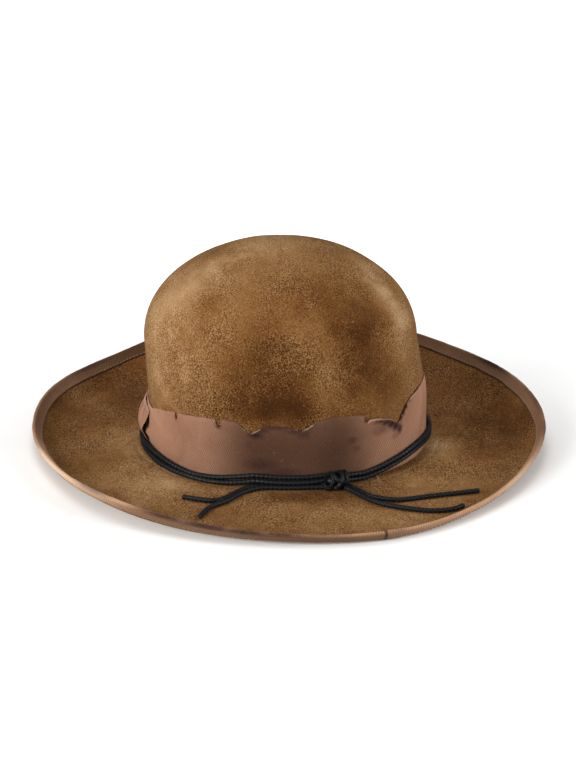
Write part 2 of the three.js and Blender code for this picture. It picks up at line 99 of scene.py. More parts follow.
# Rounded sizes that patterns are counted by
CROWN_MM_PER_DEGREE = 1.6
CROWN_RADIUS = 92.0
BRIM_RADIUS = 180.0

# Sizes of the ribbons and the cord, and the band's stretch and lap in degrees
GAP = 0.3
RIBBON = 0.9
BINDING = 0.6
BINDING_GAP = 0.1
BINDING_WIDTH = 8.5
BINDING_OUTER = 4.6
BINDING_SEAM = 19.5
BINDING_LAP = 4.6
BAND_FOOT = 3.1
BAND_START = 256.0
BAND_END = 644.0
LAP_BEGINS = 592.0
LAP_ENDS = 606.0
LOOSE_STRETCH = 14.0
CORD_RADIUS = 1.85

# Crown wall: height, half length, half width, shift of the oval's middle towards the front
CROWN_ROWS = np.array([
    (2.2, 101.5, 83, 0), (40, 100.8, 82.7, 0), (62, 100.2, 82.3, -2.2), (84, 99, 81.5, -4.7),
])

# Rolled brim edge: azimuth, reach of the lip beyond the head oval, lip height, slope there
EDGE_ROWS = np.array([
    (0, 87.6, 9.9, 74), (22.5, 91.2, 8.6, 71), (45, 86.6, 9.8, 54), (67.5, 83.7, 14.2, 61),
    (90, 85, 19.1, 69), (112.5, 84.9, 23.9, 64), (135, 86.2, 25.5, 56), (157.5, 88.7, 30.6, 54),
    (180, 89.9, 31.3, 55), (202.5, 92.4, 28.9, 55), (225, 92.5, 18.7, 56), (247.5, 93, 16.2, 64),
    (270, 86.5, 14, 66), (292.5, 82.7, 14.1, 57), (315, 85.4, 16.6, 68), (337.5, 85.9, 13, 75),
    (360, 87.6, 9.9, 74),
])

# Torn upper edge of the band: azimuth, height
TORN_EDGE = np.array([
    (256, 41), (272, 37.5), (287, 36.7), (290, 38.4), (294.5, 40.3), (295.2, 38.9), (295.9, 41.2),
    (300, 42.5), (304, 43.9), (309.2, 45.9), (309.6, 41.2), (310.4, 40.9), (311.2, 45.2),
    (311.8, 46.2), (317, 46.9), (322.5, 48.1), (327, 48.8), (331, 49.4), (331.4, 45.6),
    (332.5, 44.6), (333.2, 46.4), (333.6, 45.9), (334.4, 50.1), (337.5, 49.6), (340.7, 48.9),
    (342.4, 46.2), (344.2, 44.1), (346.7, 42.6), (348.4, 45), (351.4, 48.1), (354, 48.3),
    (356.7, 48.6), (360, 47.7), (363.5, 46), (366, 44.8), (368.2, 47.2), (370.8, 49.4),
    (374.5, 51.6), (377, 52.1), (380, 52.6), (383, 52.4), (386, 52.5), (390, 51.2), (393.3, 50.4),
    (393.8, 45.4), (394.6, 45.3), (395.2, 46.6), (398, 46.9), (402.6, 45.4), (405, 43.9),
    (407.5, 41.8), (409.6, 38.9), (411.3, 36.8), (412.2, 38.6), (413.3, 42.4), (415.2, 44.9),
    (417.3, 48.5), (419, 49.3), (421.4, 51.2), (425, 52.9), (428.8, 53.9), (442, 53.7), (455, 52.6),
    (470, 52), (487, 53.1), (505, 53.2), (508, 51), (512, 50.4), (516, 52.2), (530, 52.6),
    (545, 51.7), (560, 51.4), (575, 52.6), (588, 52.4), (600, 51.6), (609, 50.2), (614, 45),
    (618, 38.6), (623, 34.8), (627, 34.3), (633, 35), (636, 34.4), (640, 33.8), (644, 33.2),
])

# Places where the torn edge curls outward: azimuth, half width, how far out, how deep
EDGE_CURLS = [
    (296.6, 1.2, 0.7, 3), (310.2, 1, 0.6, 3), (332.6, 1.8, 0.8, 3.5), (348.6, 3.6, 2, 4.5),
    (368.3, 3.4, 1.9, 4.5), (401.5, 6, 2.6, 5), (415.5, 3, 1.2, 6), (427, 6, 0.9, 9),
    (508, 5, 0.9, 5),
]

# How far the loose lapped end stands off: height, distance before the end, distance at it
LOOSE_END = np.array([
    (3.1, 0, 0), (8, 0.7, 0.5), (11.5, 2.6, 2.4), (14.5, 4.6, 4.2), (17, 5.4, 4.7), (20, 5.6, 4),
    (24, 5, 2.4), (28, 3.6, 1), (31, 2, 0.3), (34.5, 0.5, 0), (54, 0, 0),
])

# Torn end of the lapped ribbon: height, azimuth past the straight cut
LOOSE_EDGE = np.array([
    (3.1, -0.6), (8, -2), (11, -2.6), (14.5, -3), (16.5, -3), (20, -1.8), (24, -0.9), (28, -0.4),
    (31, 0.2), (34, 1), (54, 1),
])

# Fold in the ribbon under the loose end: azimuth, half width, height, half height, how far out
UNDER_FOLD = (277.0, 6.0, 13.2, 3.0, 2.4)

# Scorched patches and painted shade on the band: azimuth, height, half width, half height, strength
BAND_SCORCH_AND_SHADE = [
    # At the notches and at the big curl, azimuth 393 to 420, marks are scorch and painted shadow.
    (350, 18.5, 7, 5.2, 0.72), (358, 13, 9, 3.8, 0.66), (366.5, 42, 3.6, 3.6, 0.6),
    (348, 40.8, 3.2, 3, 0.95), (357, 47.4, 10, 1.8, 0.75), (351, 45, 2.8, 2.6, 0.65),
    (363.5, 44.6, 4, 2.2, 0.75), (345, 34, 1.6, 4, 0.3), (386.7, 34, 2.4, 3.2, 0.6),
    (388.5, 27, 2.2, 3.4, 0.4), (401, 43.6, 4.2, 2.4, 0.8), (404, 41.6, 3.8, 3.4, 0.98),
    (406.8, 39.2, 3.4, 4, 1.04), (409.4, 36.4, 2.8, 4.4, 1.08), (411.6, 33, 2, 4.6, 0.9),
    (402, 37.5, 8, 5.4, 0.46), (409, 29, 3.2, 3.6, 0.38), (412.8, 40.6, 1.4, 3, 1),
    (414.6, 44.2, 1.4, 2.8, 1.1), (416.8, 47.8, 1.4, 2.6, 1.1), (393.5, 47.5, 1, 2.6, 0.9),
    (309.9, 42.5, 0.8, 2.6, 1.1), (332.2, 45.5, 1.3, 2.6, 1.15), (295.6, 39.6, 0.8, 2, 0.6),
    # The rows at azimuth 280.5 and 281.2 are painted shade in the gaps under the loose end.
    (419.6, 50.4, 1.8, 2, 1.05), (280.5, 24, 2, 4.6, 1.4), (281.2, 9.6, 2.2, 2, 1.3),
    (470, 46, 8, 5, 0.55), (509, 49, 6, 5, 0.8), (548, 30, 10, 6, 0.35), (586, 47, 8, 5, 0.45),
    (633.5, 30, 1.2, 12, 0.48), (638.5, 33, 1, 10, 0.4),
]

# Broken threads at the torn edge: azimuth, height, length, lean along the edge in degrees
FRAYED_THREADS = [
    (296.2, 40.6, 1.8, -30), (310.9, 43.6, 1.6, 25), (332, 45.4, 2, -35), (333.4, 46, 1.5, 20),
    (343.6, 44.6, 2.2, -50), (345.2, 43.4, 3, -20), (346.4, 42.9, 2.4, 28), (347.6, 44, 2.6, 50),
    (364.6, 45.6, 2.2, -40), (366.4, 45, 2.6, 10), (368, 47, 2.4, 45), (369.8, 48.6, 1.8, 60),
    (394.8, 46, 1.8, -20), (399, 46.8, 1.6, 30), (405.4, 43.6, 2, -30), (408.6, 40.4, 2.2, -20),
    (411.2, 37.2, 2.6, 5), (412.6, 39.4, 2.4, 35), (414.6, 44.2, 2, 40), (420.6, 50.8, 1.8, 20),
    (508, 51.4, 2.6, -20), (511, 50.8, 2.2, 30), (629, 34.6, 1.4, 10), (637.5, 34.4, 1.4, -30),
]

# Two pale threads that lie on the brim by the cord: points from end to end
FALLEN_THREADS = [
    [(69.8, 62.9, 4.6), (72.5, 63.6, 3.1), (76.0, 65.2, 2.45), (79.0, 66.6, 2.4), (82.0, 67.0, 2.4)],
    [(72.0, 64.6, 3.3), (75.0, 63.8, 2.5), (78.0, 64.0, 2.4), (80.5, 65.6, 2.4)],
]

# Darker dyed patches of the band: azimuth, height, half width, half height, strength
BAND_DYE = [
    (362, 26, 26, 70, 0.88), (385, 26, 13, 70, 0.48), (342, 26, 12, 70, 0.35),
    (316, 20, 14, 60, 0.22), (300, 8, 30, 5, 0.14), (639, 30, 8, 60, 0.22), (480, 25, 40, 30, 0.3),
    (560, 25, 40, 30, 0.3),
]

# Stretches of the torn edge with pale threads and a painted highlight: azimuth, half width, strength
EDGE_THREADS_AND_HIGHLIGHT = [
    (348.4, 1.6, 0.65), (369, 2, 0.55), (397.8, 3.6, 0.8), (405, 3.6, 0.45), (295.5, 1.2, 0.5),
    (310.8, 0.8, 0.4), (423, 5, 0.4), (634, 9, 0.6),
]

# Scorched stretches of the brim ribbon: azimuth, place across it, half width, half width
# across it, strength (place -1 is the edge of the outer leg, 0 the lip, 1 the inner leg's)
BINDING_SCORCH = [
    (313, -0.03, 6, 0.18, 0.85), (333, -0.05, 7, 0.19, 0.88), (343, -0.07, 8, 0.23, 0.92),
    (351, -0.07, 7, 0.22, 0.88), (358, -0.04, 7, 0.19, 0.8), (6, 0, 7, 0.14, 0.55),
    (282, 0, 7, 0.3, 0.35), (233, 0.1, 8, 0.3, 0.6), (206, 0.2, 9, 0.3, 0.3),
    (152, 0.15, 9, 0.3, 0.45), (123, 0.1, 7, 0.3, 0.9), (100, 0, 8, 0.3, 0.6),
    (84, -0.1, 5, 0.3, 0.45), (22, 0, 3, 0.3, 0.35),
]

# Stretches of the brim ribbon worn pale, with a painted highlight: azimuth, half width, strength
BINDING_WEAR_AND_HIGHLIGHT = [
    (294, 12, 0.62), (312, 8, 0.2), (60, 10, 0.36),
]

# Darker, browner stretches of the brim ribbon: azimuth, half width, strength and
# whether the lip and inner leg have it too (1) or only the outer leg (0)
# Partly dye, partly painted shade on the ribbon's far side and on the outer leg at the front.
BINDING_DYE_AND_SHADE = [
    (222, 32, 0.84, 1), (165, 40, 0.84, 1), (120, 20, 0.4, 1), (88, 14, 0.66, 1), (68, 14, 0.28, 1),
    (268, 13, 0.48, 1), (339, 10, 0.12, 1), (358, 25, 0.76, 0), (20, 16, 0.32, 0),
    (326, 14, 0.36, 0), (291, 8, -0.1, 1),
]

# Hand-dyed patches of the felt, and painted shadow: x, y, z, radius, tint (dark below zero, light above)
FELT_PATCHES = [
    (32, -87, 115, 36, 0.42), (26, -58, 139, 22, 0.19), (70, -54, 100, 18, 0.05),
    (51, -58, 126, 11, -0.18), (80, -12, 100, 24, -0.2), (80, -40, 68, 20, -0.24),
    (78, -55, 76, 12, 0.22), (40, -95, 62, 16, 0.3), (84, -6, 68, 22, -0.45),
    (83, -22, 60, 14, -0.22), (84, 14, 60, 14, -0.2), (80, 22, 66, 9, 0.28),
    (49, 1, 140, 18, -0.18), (54, 33, 129, 20, -0.26), (22, 32, 147, 13, -0.05),
    (55, 56, 114, 15, -0.12), (66, 50, 98, 14, -0.46), (66, 36, 112, 14, -0.16),
    (60, 62, 80, 16, -0.3), (56, 72, 64, 12, -0.2), (72, 50, 72, 12, -0.25), (74, 20, 110, 9, 0.1),
    (79, 22, 82, 8, 0.05), (28, 80, 112, 14, 0.5), (30, 68, 130, 12, 0.38), (40, 84, 88, 12, 0.22),
    (4, -12, 154, 34, 0.4), (11, 55, 138, 16, 0.45), (-103, -135, 4, 26, -0.25),
    (-72, -120, 2, 15, -0.35), (78, -97, 4, 30, 0.42), (10, -157, 4, 24, 0.05),
    (-35, 148, 4, 24, -0.15), (-4, 160, 4, 26, -0.31), (-120, 140, 6, 26, 0.15),
    (24, 112, 2, 18, 0.45), (20, 140, 2, 16, -0.25), (72, 88, 2, 16, 0.25), (135, 30, 2, 24, 0.25),
    (138, 74, 5, 20, 0.25), (95, 104, 3, 24, 0.14), (8, -120, 2, 22, 0.32),
    (52, 57, 116, 15, -0.24), (72, 44, 82, 9, -0.12), (79, 26, 83, 10, 0.2), (73, 38, 95, 8, -0.14),
    (69, -61, 86, 14, 0.12), (60, -74, 77, 12, 0.12), (27, 65, 128, 10, 0.26),
    (37, 79, 104, 10, 0.14), (72, 8, 117, 10, 0.14), (77, -23, 108, 12, -0.13),
    # Rows at x 101 to 102 and z 2 lie on the brim by the cord and are painted shadow under it.
    (83, -14, 61, 10, -0.36), (83, 8, 59, 9, -0.36), (120, -5, 2, 14, 0.12), (101, -10, 2, 9, -0.3),
    (102, 4, 2, 10, -0.46), (102, 18, 2, 10, -0.46), (101, 32, 2, 9, -0.32), (6, 108, 2, 14, 0.32),
    (-20, -114, 2, 14, 0.26), (35, -113, 2, 14, 0.24), (62, -91, 2, 14, 0.22),
    (116, -108, 4, 14, 0.28), (-60, -55, 110, 26, -0.4), (-75, 20, 90, 24, 0.4),
    (-48, 60, 118, 20, -0.45), (-130, 30, 4, 26, -0.3), (-120, -50, 3, 20, 0.3),
]

# Faint rings by the band, painted highlight and shade of a crease: distance from the crown, half width,
# tint
CREASE_RING_LIGHT_AND_SHADE = [(8.6, 1, 0.2), (10.6, 1.3, -0.14)]
RING_WANDER = 0.8

# Routes of the two turns of cord: azimuth, distance out from the felt, height
LOWER_WRAP = np.array([
    (20.5, 6.4, 7.2), (26, 3.8, 5.2), (32, 3.4, 4.6), (51, 3.4, 9.3), (65, 3.4, 11.6),
    (90, 3.4, 9.8), (130, 3.4, 8.4), (180, 3.4, 6.4), (232, 3.6, 5), (255, 4.7, 4.6),
    (275, 4.8, 4.5), (292, 5.2, 4.4), (305, 6.6, 4.2), (320, 7.3, 4.2), (331, 6.9, 4.2),
    (338, 5.4, 4.8), (343, 4.8, 6.2), (348, 4.7, 7.9), (357, 5.1, 7.5), (370, 5.2, 7.5),
    (376, 5.7, 8.4), (379, 6.4, 9),
])
UPPER_WRAP = np.array([
    (20.5, 6.2, 10.2), (26, 3.8, 9), (32, 3.4, 8.4), (51, 3.4, 13.1), (65, 3.4, 15.4),
    (90, 3.4, 13.6), (130, 3.4, 12.2), (180, 3.4, 10.2), (232, 3.6, 8.8), (255, 4.8, 8.3),
    (275, 5.2, 8), (292, 4, 7.9), (305, 3.4, 6.6), (320, 3.4, 4.9), (331, 3.4, 6.2),
    (338, 3.4, 8.4), (343, 3.4, 10), (348, 3.4, 11.5), (357, 3.4, 10.9), (370, 3.4, 10.8),
    (376, 4.6, 11.6), (379, 6, 11.6),
])

# Routes of the loose ends from the knot to the cut tip
TAIL_ROUTES = {
    "tail_right_lower": [
        (89.9, 37.6, 6.2), (92.7, 41.5, 4.6), (95.7, 44.3, 4.2), (98.9, 47.3, 4.2),
        (102.6, 50.2, 4.2), (106.1, 53.1, 4.2), (109.5, 56.3, 4.2), (112.5, 60, 4.2),
        (115.5, 64.1, 4.2), (119.1, 71, 4.2), (122.1, 78.7, 4.2), (124.7, 86.6, 4.2),
        (126.5, 94.6, 4.2), (126.9, 102.3, 4.3), (125.6, 110.1, 4.3), (122.9, 116.4, 4.4),
        (119, 121.2, 4.5),
    ],
    "tail_right_upper": [
        (86.5, 38.7, 6), (89.1, 43.7, 4.5), (92.1, 46.9, 4.2), (95.6, 49.9, 4.2), (99.3, 52.9, 4.2),
        (102.7, 56, 4.2), (105.5, 59.9, 4.2), (107.5, 64.5, 4.2), (109, 69.5, 4.2),
        (109.9, 74.7, 4.2), (109.6, 79.9, 4.2), (107.6, 87.5, 4.2), (105, 95.9, 4.2),
        (102.9, 103.5, 4.2), (101.1, 111.1, 4.2), (98.9, 120.3, 4.3), (97.3, 127.3, 4.4),
        (95.9, 133.7, 4.6),
    ],
    "tail_left_lower": [
        (90.5, 32.6, 5.8), (90.6, 27.3, 4.6), (90.2, 21.6, 4.2), (90.5, 14.1, 4.2),
        (91.1, 6.6, 4.2), (91.3, -1, 4.2), (91.1, -8.6, 4.2), (90.7, -15.5, 4.2),
        (91.9, -21.3, 4.2), (95.1, -27.3, 4.2), (100.2, -33.1, 4.2), (106.3, -38, 4.2),
        (111.9, -42.3, 4.2), (115.7, -47.1, 4.2), (119.3, -51.5, 4.2), (124.1, -55.1, 4.2),
        (130.7, -58.1, 4.2), (136.9, -60.2, 4.2),
    ],
    "tail_left_upper": [
        (87.2, 32.1, 5.2), (86.6, 27.1, 4.4), (85.8, 20.8, 4.2), (86.8, 13.6, 4.2),
        (87.4, 6.3, 4.2), (87.6, -1, 4.2), (87.4, -8.3, 4.2), (87, -15.5, 4.2), (87.9, -21.5, 4.2),
        (91.2, -28.3, 4.2), (96.7, -34.7, 4.2), (102.7, -39.8, 4.2), (108.1, -44.5, 4.2),
        (111.1, -49.9, 4.2), (111.1, -55.5, 4.2), (109.5, -61.3, 4.2), (107.4, -67.2, 4.2),
        (105.5, -73.2, 4.2),
    ],
}

KNOT_AZIMUTH = 18.1
KNOT_OUT = 8.0
KNOT_HEIGHT = 8.5
KNOT_LEAN = 16.0
KNOT_SHAPE = (1.15, 1.15, 1.0)
KNOT_TAKES_TURN = 5.0
KNOT_TAKES_TAIL = 5.4

# Where the turns lie slack by the knot: azimuths between which it grows and ends, how far
SLACK_GROWS = (285, 320)
SLACK_ENDS = (366, 378)
SLACK_OUT = 0.7
SLACK_DOWN = 0.1

# Curves through tables


def smooth_rows(rows, column, at, closed=False):
    """A smooth curve through one column of a table whose first column is the key."""
    keys, values = rows[:, 0], rows[:, column]
    at = np.asarray(at, float)
    if closed:
        at = np.mod(at, 360.0)
    slopes = np.empty(len(keys))
    slopes[1:-1] = (values[2:] - values[:-2]) / (keys[2:] - keys[:-2])
    if closed:
        slopes[0] = slopes[-1] = (values[1] - values[-2]) / (keys[1] + 360 - keys[-2])
    else:
        slopes[0] = (values[1] - values[0]) / (keys[1] - keys[0])
        slopes[-1] = (values[-1] - values[-2]) / (keys[-1] - keys[-2])
    after = np.clip(np.searchsorted(keys, at, side="right"), 1, len(keys) - 1)
    before = after - 1
    span = keys[after] - keys[before]
    s = np.clip((at - keys[before]) / span, 0, 1)
    ease = s * s * (3 - 2 * s)
    leave = s * (1 - s) ** 2 * span
    arrive = s * s * (s - 1) * span
    rise = values[after] - values[before]
    return values[before] + rise * ease + slopes[before] * leave + slopes[after] * arrive


def straight_rows(rows, column, at):
    return np.interp(at, rows[:, 0], rows[:, column])


def smooth_step(low, high, at):
    s = np.clip((np.asarray(at, float) - low) / (high - low), 0, 1)
    return s * s * (3 - 2 * s)


def unit(vectors):
    return vectors / np.linalg.norm(vectors, axis=-1, keepdims=True)


def grain_at(points, size, seed):
    """Smooth noise from -1 to 1 at each point, for features of about that size."""
    return np.array([
        noise.noise((p[0] / size + seed, p[1] / size - seed, p[2] / size + 2 * seed))
        for p in points
    ])


def mixed_grain(points, rows):
    """Noise of several sizes added up, from rows of strength, size and seed."""
    return sum(strength * grain_at(points, size, seed) for strength, size, seed in rows)


def hump(at, middle, half_width):
    return np.exp(-(((at - middle) / half_width) ** 2))


def patches(table, place, up, join, around=hump):
    """Soft patches from rows of place, place up, half width, half height and strength."""
    total = np.zeros(up.shape)
    for middle, level, half_width, half_height, strength in table:
        patch = strength * around(place, middle, half_width) * hump(up, level, half_height)
        total = join(total, patch)
    return total


def turn_hump(azimuth, middle, half_width):
    """A hump round the full turn, where 360 degrees is 0 again."""
    return hump((azimuth - middle + 180.0) % 360.0 - 180.0, 0, half_width)


# Surfaces of the hat


def crown_wave(azimuth, height):
    """Slight unevenness of a crown shaped by hand, clear of the band."""
    angle = np.radians(azimuth)
    wave = (
        0.55 * np.sin(2 * angle + 0.8) * np.sin(height / 38.0)
        + 0.35 * np.sin(5 * angle + 2.1) * np.sin(height / 23.0 + 1.0)
        + 0.18 * np.sin(9 * angle + height / 11.0)
    )
    return wave * smooth_step(57, 76, height)


def crown_points(azimuth, height, out):
    """Points on the crown's wall, moved out from the felt's outer face."""
    height = np.asarray(height, float)
    angle = np.radians(azimuth)
    out = out + crown_wave(azimuth, height)
    half_length = smooth_rows(CROWN_ROWS, 1, height) + out
    half_width = smooth_rows(CROWN_ROWS, 2, height) + out
    shift = smooth_rows(CROWN_ROWS, 3, height)
    x = CROWN_MIDDLE[0] + half_width * np.cos(angle)
    y = CROWN_MIDDLE[1] + shift + half_length * np.sin(angle)
    return np.stack([x, y, height + 0 * x], axis=-1)


def dome_points(azimuth, lift, out):
    """Points on the dome, lift 0 at the wall and 90 at the top."""
    angle, rise = np.radians(azimuth), np.radians(lift)
    height = DOME_BASE + DOME_HEIGHT * np.sin(rise)
    out = out + crown_wave(azimuth, height) * np.cos(rise)
    _, half_length, half_width, shift = CROWN_ROWS[-1]
    x = CROWN_MIDDLE[0] + (half_width + out) * np.cos(rise) * np.cos(angle)
    y = CROWN_MIDDLE[1] + shift + (half_length + out) * np.cos(rise) * np.sin(angle)
    z = DOME_BASE + (DOME_HEIGHT + out) * np.sin(rise)
    return np.stack([x, y, z + 0 * x], axis=-1)


def brim_roll(azimuth):
    """Bend, radius and start of the rolled edge."""
    nose = FELT / 2 + GAP + ROLL_NOSE
    bend = np.radians(smooth_rows(EDGE_ROWS, 3, azimuth, closed=True))
    rise = smooth_rows(EDGE_ROWS, 2, azimuth, closed=True) - nose - FELT / 2
    radius = rise / (1 - np.cos(bend))
    flat = smooth_rows(EDGE_ROWS, 1, azimuth, closed=True) - radius * np.sin(bend)
    return bend, radius, flat


def roll_points(azimuth, slope, inward, beyond=0.0):
    """Points across the rolled edge, inward of the felt's middle, beyond that slope."""
    _, radius, flat = brim_roll(azimuth)
    angle = np.radians(azimuth)
    turn = radius - inward
    reach = flat + turn * np.sin(slope) + beyond * np.cos(slope)
    z = FELT / 2 + radius - turn * np.cos(slope) + beyond * np.sin(slope)
    x = BRIM_MIDDLE[0] + (HEAD_HALF_WIDTH + reach) * np.cos(angle)
    y = BRIM_MIDDLE[1] + (HEAD_HALF_LENGTH + reach) * np.sin(angle)
    return np.stack([x, y, z + 0 * x], axis=-1)


def felt_half(azimuth, slope):
    """Half the felt's thickness in the rolled edge, where it thins towards the lip."""
    bend, radius, _ = brim_roll(azimuth)
    return FELT / 2 - LIP_THINNING * (1 - smooth_step(0, LIP_THIN_WIDTH, (bend - slope) * radius))


# Meshes


def smooth_mesh(name, points, faces, data=None):
    """A smooth mesh of points in millimetres, with named numbers for each point."""
    mesh = bpy.data.meshes.new(name)
    mesh.from_pydata((np.asarray(points) * MM).tolist(), [], faces)
    for key, values in (data or {}).items():
        layer = mesh.attributes.new(key, "FLOAT", "POINT")
        layer.data.foreach_set("value", np.asarray(values, np.float32))
    mesh.polygons.foreach_set("use_smooth", [True] * len(mesh.polygons))
    mesh.update()
    return mesh


def ring_faces(count, sides, first=0, closed=False):
    """Quads between rings of points that follow each other from a first point on."""
    faces = []
    for ring in range(count if closed else count - 1):
        here, ahead = first + ring * sides, first + (ring + 1) % count * sides
        for corner in range(sides):
            beside = (corner + 1) % sides
            faces.append((here + corner, here + beside, ahead + beside, ahead + corner))
    return faces


def grid_mesh(name, sheet, wrap_along, wrap_across, tips=(), data=None):
    """A closed mesh from a grid of points [along, across, xyz] and up to two tips."""
    along, across = sheet.shape[:2]
    a = np.arange(along if wrap_along else along - 1)
    b = np.arange(across if wrap_across else across - 1)
    aa, bb = np.meshgrid(a, b, indexing="ij")
    a2, b2 = (aa + 1) % along, (bb + 1) % across
    faces = np.stack([aa * across + bb, a2 * across + bb, a2 * across + b2, aa * across + b2], -1)
    faces = faces.reshape(-1, 4).tolist()
    for end, column in zip(range(len(tips)), (0, across - 1)):
        for i in a.tolist():
            rim = [i * across + column, (i + 1) % along * across + column]
            faces.append([along * across + end] + (rim[::-1] if end == 0 else rim))
    points = np.concatenate([sheet.reshape(-1, 3), np.reshape(tips, (-1, 3))])
    values = {
        key: np.append(np.reshape(numbers, -1), [np.reshape(numbers, -1)[0]] * len(tips))
        for key, numbers in (data or {}).items()
    }
    mesh = smooth_mesh(name, points, faces, values)
    mesh.validate()
    mesh.update()
    face_outward(mesh)
    return mesh


def face_outward(mesh):
    """Turn every face of a closed mesh to the outside."""
    mesh.calc_loop_triangles()
    volume = 0.0
    for triangle in mesh.loop_triangles:
        p, q, r = (mesh.vertices[i].co for i in triangle.vertices)
        volume += p.dot(q.cross(r))
    if volume < 0:
        mesh.flip_normals()
        mesh.update()


def cap_ends(sheet):
    """A band of closed sections whose first and last section are drawn to their middle."""
    first, last = sheet[:1], sheet[-1:]
    middles = [end.mean(axis=1, keepdims=True) + 0 * end for end in (first, last)]
    return np.concatenate([middles[0], first, sheet, last, middles[1]])


def add_piece(name, mesh, material, slot, *nodes):
    piece = add_object(name, mesh)
    mesh.materials.append(material)
    if nodes:
        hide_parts(*nodes)
    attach(piece, "root")
    return piece


# Shader parts


def node(tree, kind, inputs=None, **settings):
    made = tree.nodes.new("ShaderNode" + kind)
    for key, value in settings.items():
        setattr(made, key, value)
    for key, value in (inputs or {}).items():
        if isinstance(value, bpy.types.NodeSocket):
            tree.links.new(value, made.inputs[key])
        else:
            made.inputs[key].default_value = value
    return made


def arithmetic(tree, operation, first, second):
    return node(tree, "Math", {0: first, 1: second}, operation=operation).outputs[0]


def plus(tree, first, second):
    return arithmetic(tree, "ADD", first, second)


def times(tree, first, second):
    return arithmetic(tree, "MULTIPLY", first, second)


def remap(tree, value, low, high, to_low=0.0, to_high=1.0):
    made = node(tree, "MapRange", {
        "Value": value, "From Min": low, "From Max": high, "To Min": to_low, "To Max": to_high,
    })
    return made.outputs["Result"]


def blend_colours(tree, share, first, second):
    """The first colour at share 0, the second at 1, each a socket or three numbers."""
    first, second = (
        colour if isinstance(colour, bpy.types.NodeSocket) else (*colour, 1)
        for colour in (first, second)
    )
    return node(tree, "Mix", {0: share, 6: first, 7: second}, data_type="RGBA").outputs[2]


def object_place(tree):
    return node(tree, "TexCoord").outputs["Object"]


def noise_value(tree, place, scale, detail=2.0, roughness=0.5, distortion=0.0):
    made = node(tree, "TexNoise", {
        "Vector": place, "Scale": scale, "Detail": detail, "Roughness": roughness,
        "Distortion": distortion,
    })
    return made.outputs["Fac"]


def attribute_value(tree, name):
    return node(tree, "Attribute", attribute_name=name).outputs["Fac"]


def shader_group(name, inputs, outputs):
    """An empty node group with number inputs (name, default) and number outputs."""
    tree = bpy.data.node_groups.new(name, "ShaderNodeTree")
    for label, default in inputs:
        socket = tree.interface.new_socket(label, in_out="INPUT", socket_type="NodeSocketFloat")
        socket.default_value = default
    for label in outputs:
        tree.interface.new_socket(label, in_out="OUTPUT", socket_type="NodeSocketFloat")
    return tree, tree.nodes.new("NodeGroupInput").outputs, tree.nodes.new("NodeGroupOutput").inputs


def brushed_nap_group():
    """Short brushed fibres: a fine speckle that comes and goes, as shade and as height."""
    tree, given, gives = shader_group(
        "brushed_nap", [("Fineness", 620.0), ("Patchiness", 22.0)], ["Shade", "Height"]
    )
    place = object_place(tree)
    drift = noise_value(tree, place, 60.0, 2.0)
    tufts = noise_value(tree, place, given["Fineness"], 2.0, 0.5, 0.8)
    finer = times(tree, given["Fineness"], 2.2)
    hairs = noise_value(tree, place, finer, 2.0, 0.55, 0.4)
    where = remap(tree, noise_value(tree, place, given["Patchiness"], 2.0, 0.6), 0.38, 0.60, 0.4, 1.0)
    both = plus(tree, times(tree, tufts, 0.68), times(tree, hairs, 0.32))
    crisp = remap(tree, both, 0.41, 0.58, -0.62, 0.38)
    shade = plus(tree, times(tree, crisp, where), 0.5)
    tree.links.new(shade, gives["Shade"])
    height = plus(tree, both, times(tree, drift, 0.4))
    tree.links.new(height, gives["Height"])
    return tree


def corded_ribs_group():
    """Cross ribs of a woven ribbon, counted along it, with the fine thread over them."""
    pitches = [("Rib pitch", 1.2), ("Thread pitch", 0.42), ("Slant", 0.5)]
    tree, given, gives = shader_group("corded_ribs", pitches, ["Shade", "Height"])
    along = attribute_value(tree, "along")
    across = attribute_value(tree, "across")
    place = object_place(tree)
    waver = times(tree, noise_value(tree, place, 90.0, 2.0), 0.9)
    slanted = plus(tree, along, times(tree, across, given["Slant"]))
    turns = arithmetic(tree, "DIVIDE", plus(tree, slanted, waver), given["Rib pitch"])
    rib = arithmetic(tree, "SINE", times(tree, turns, 2 * math.pi), 0.0)
    counts = arithmetic(tree, "DIVIDE", across, given["Thread pitch"])
    thread = arithmetic(tree, "SINE", times(tree, counts, 2 * math.pi), 0.0)
    uneven = noise_value(tree, place, 1500.0, 2.0, 0.6)
    height = plus(tree, times(tree, rib, 0.34), times(tree, thread, 0.18))
    height = plus(tree, height, times(tree, uneven, 0.5))
    tree.links.new(height, gives["Height"])
    shade = remap(tree, height, -0.25, 0.75)
    tree.links.new(shade, gives["Shade"])
    return tree


def scorch_and_shade_marks_group():
    """Burnt patches and painted shade, with ragged edges: how brown, and how black, each place is."""
    tree, given, gives = shader_group(
        "scorch_and_shade_marks", [("Raggedness", 0.5), ("Speck size", 260.0)], ["Brown", "Black"]
    )
    place = object_place(tree)
    burnt_and_shaded = attribute_value(tree, "scorch_and_shade")
    ragged = noise_value(tree, place, given["Speck size"], 5.0, 0.7, 0.4)
    ragged = times(tree, arithmetic(tree, "SUBTRACT", ragged, 0.5), given["Raggedness"])
    level = plus(tree, burnt_and_shaded, times(tree, ragged, 1.6))
    level = times(tree, level, remap(tree, burnt_and_shaded, 0.02, 0.25))
    tree.links.new(remap(tree, level, 0.08, 0.75), gives["Brown"])
    tree.links.new(remap(tree, level, 0.70, 1.15), gives["Black"])
    return tree


def lint_and_glints_group():
    """Scattered pale specks of lint and broken fibre, and on the cord painted glints."""
    tree, given, gives = shader_group("stray_lint_and_glints", [("Fineness", 420.0), ("Rarity", 0.72)], ["Mask"])
    dots = noise_value(tree, object_place(tree), given["Fineness"], 1.0, 0.4, 1.2)
    top = plus(tree, given["Rarity"], 0.06)
    tree.links.new(remap(tree, dots, given["Rarity"], top), gives["Mask"])
    return tree


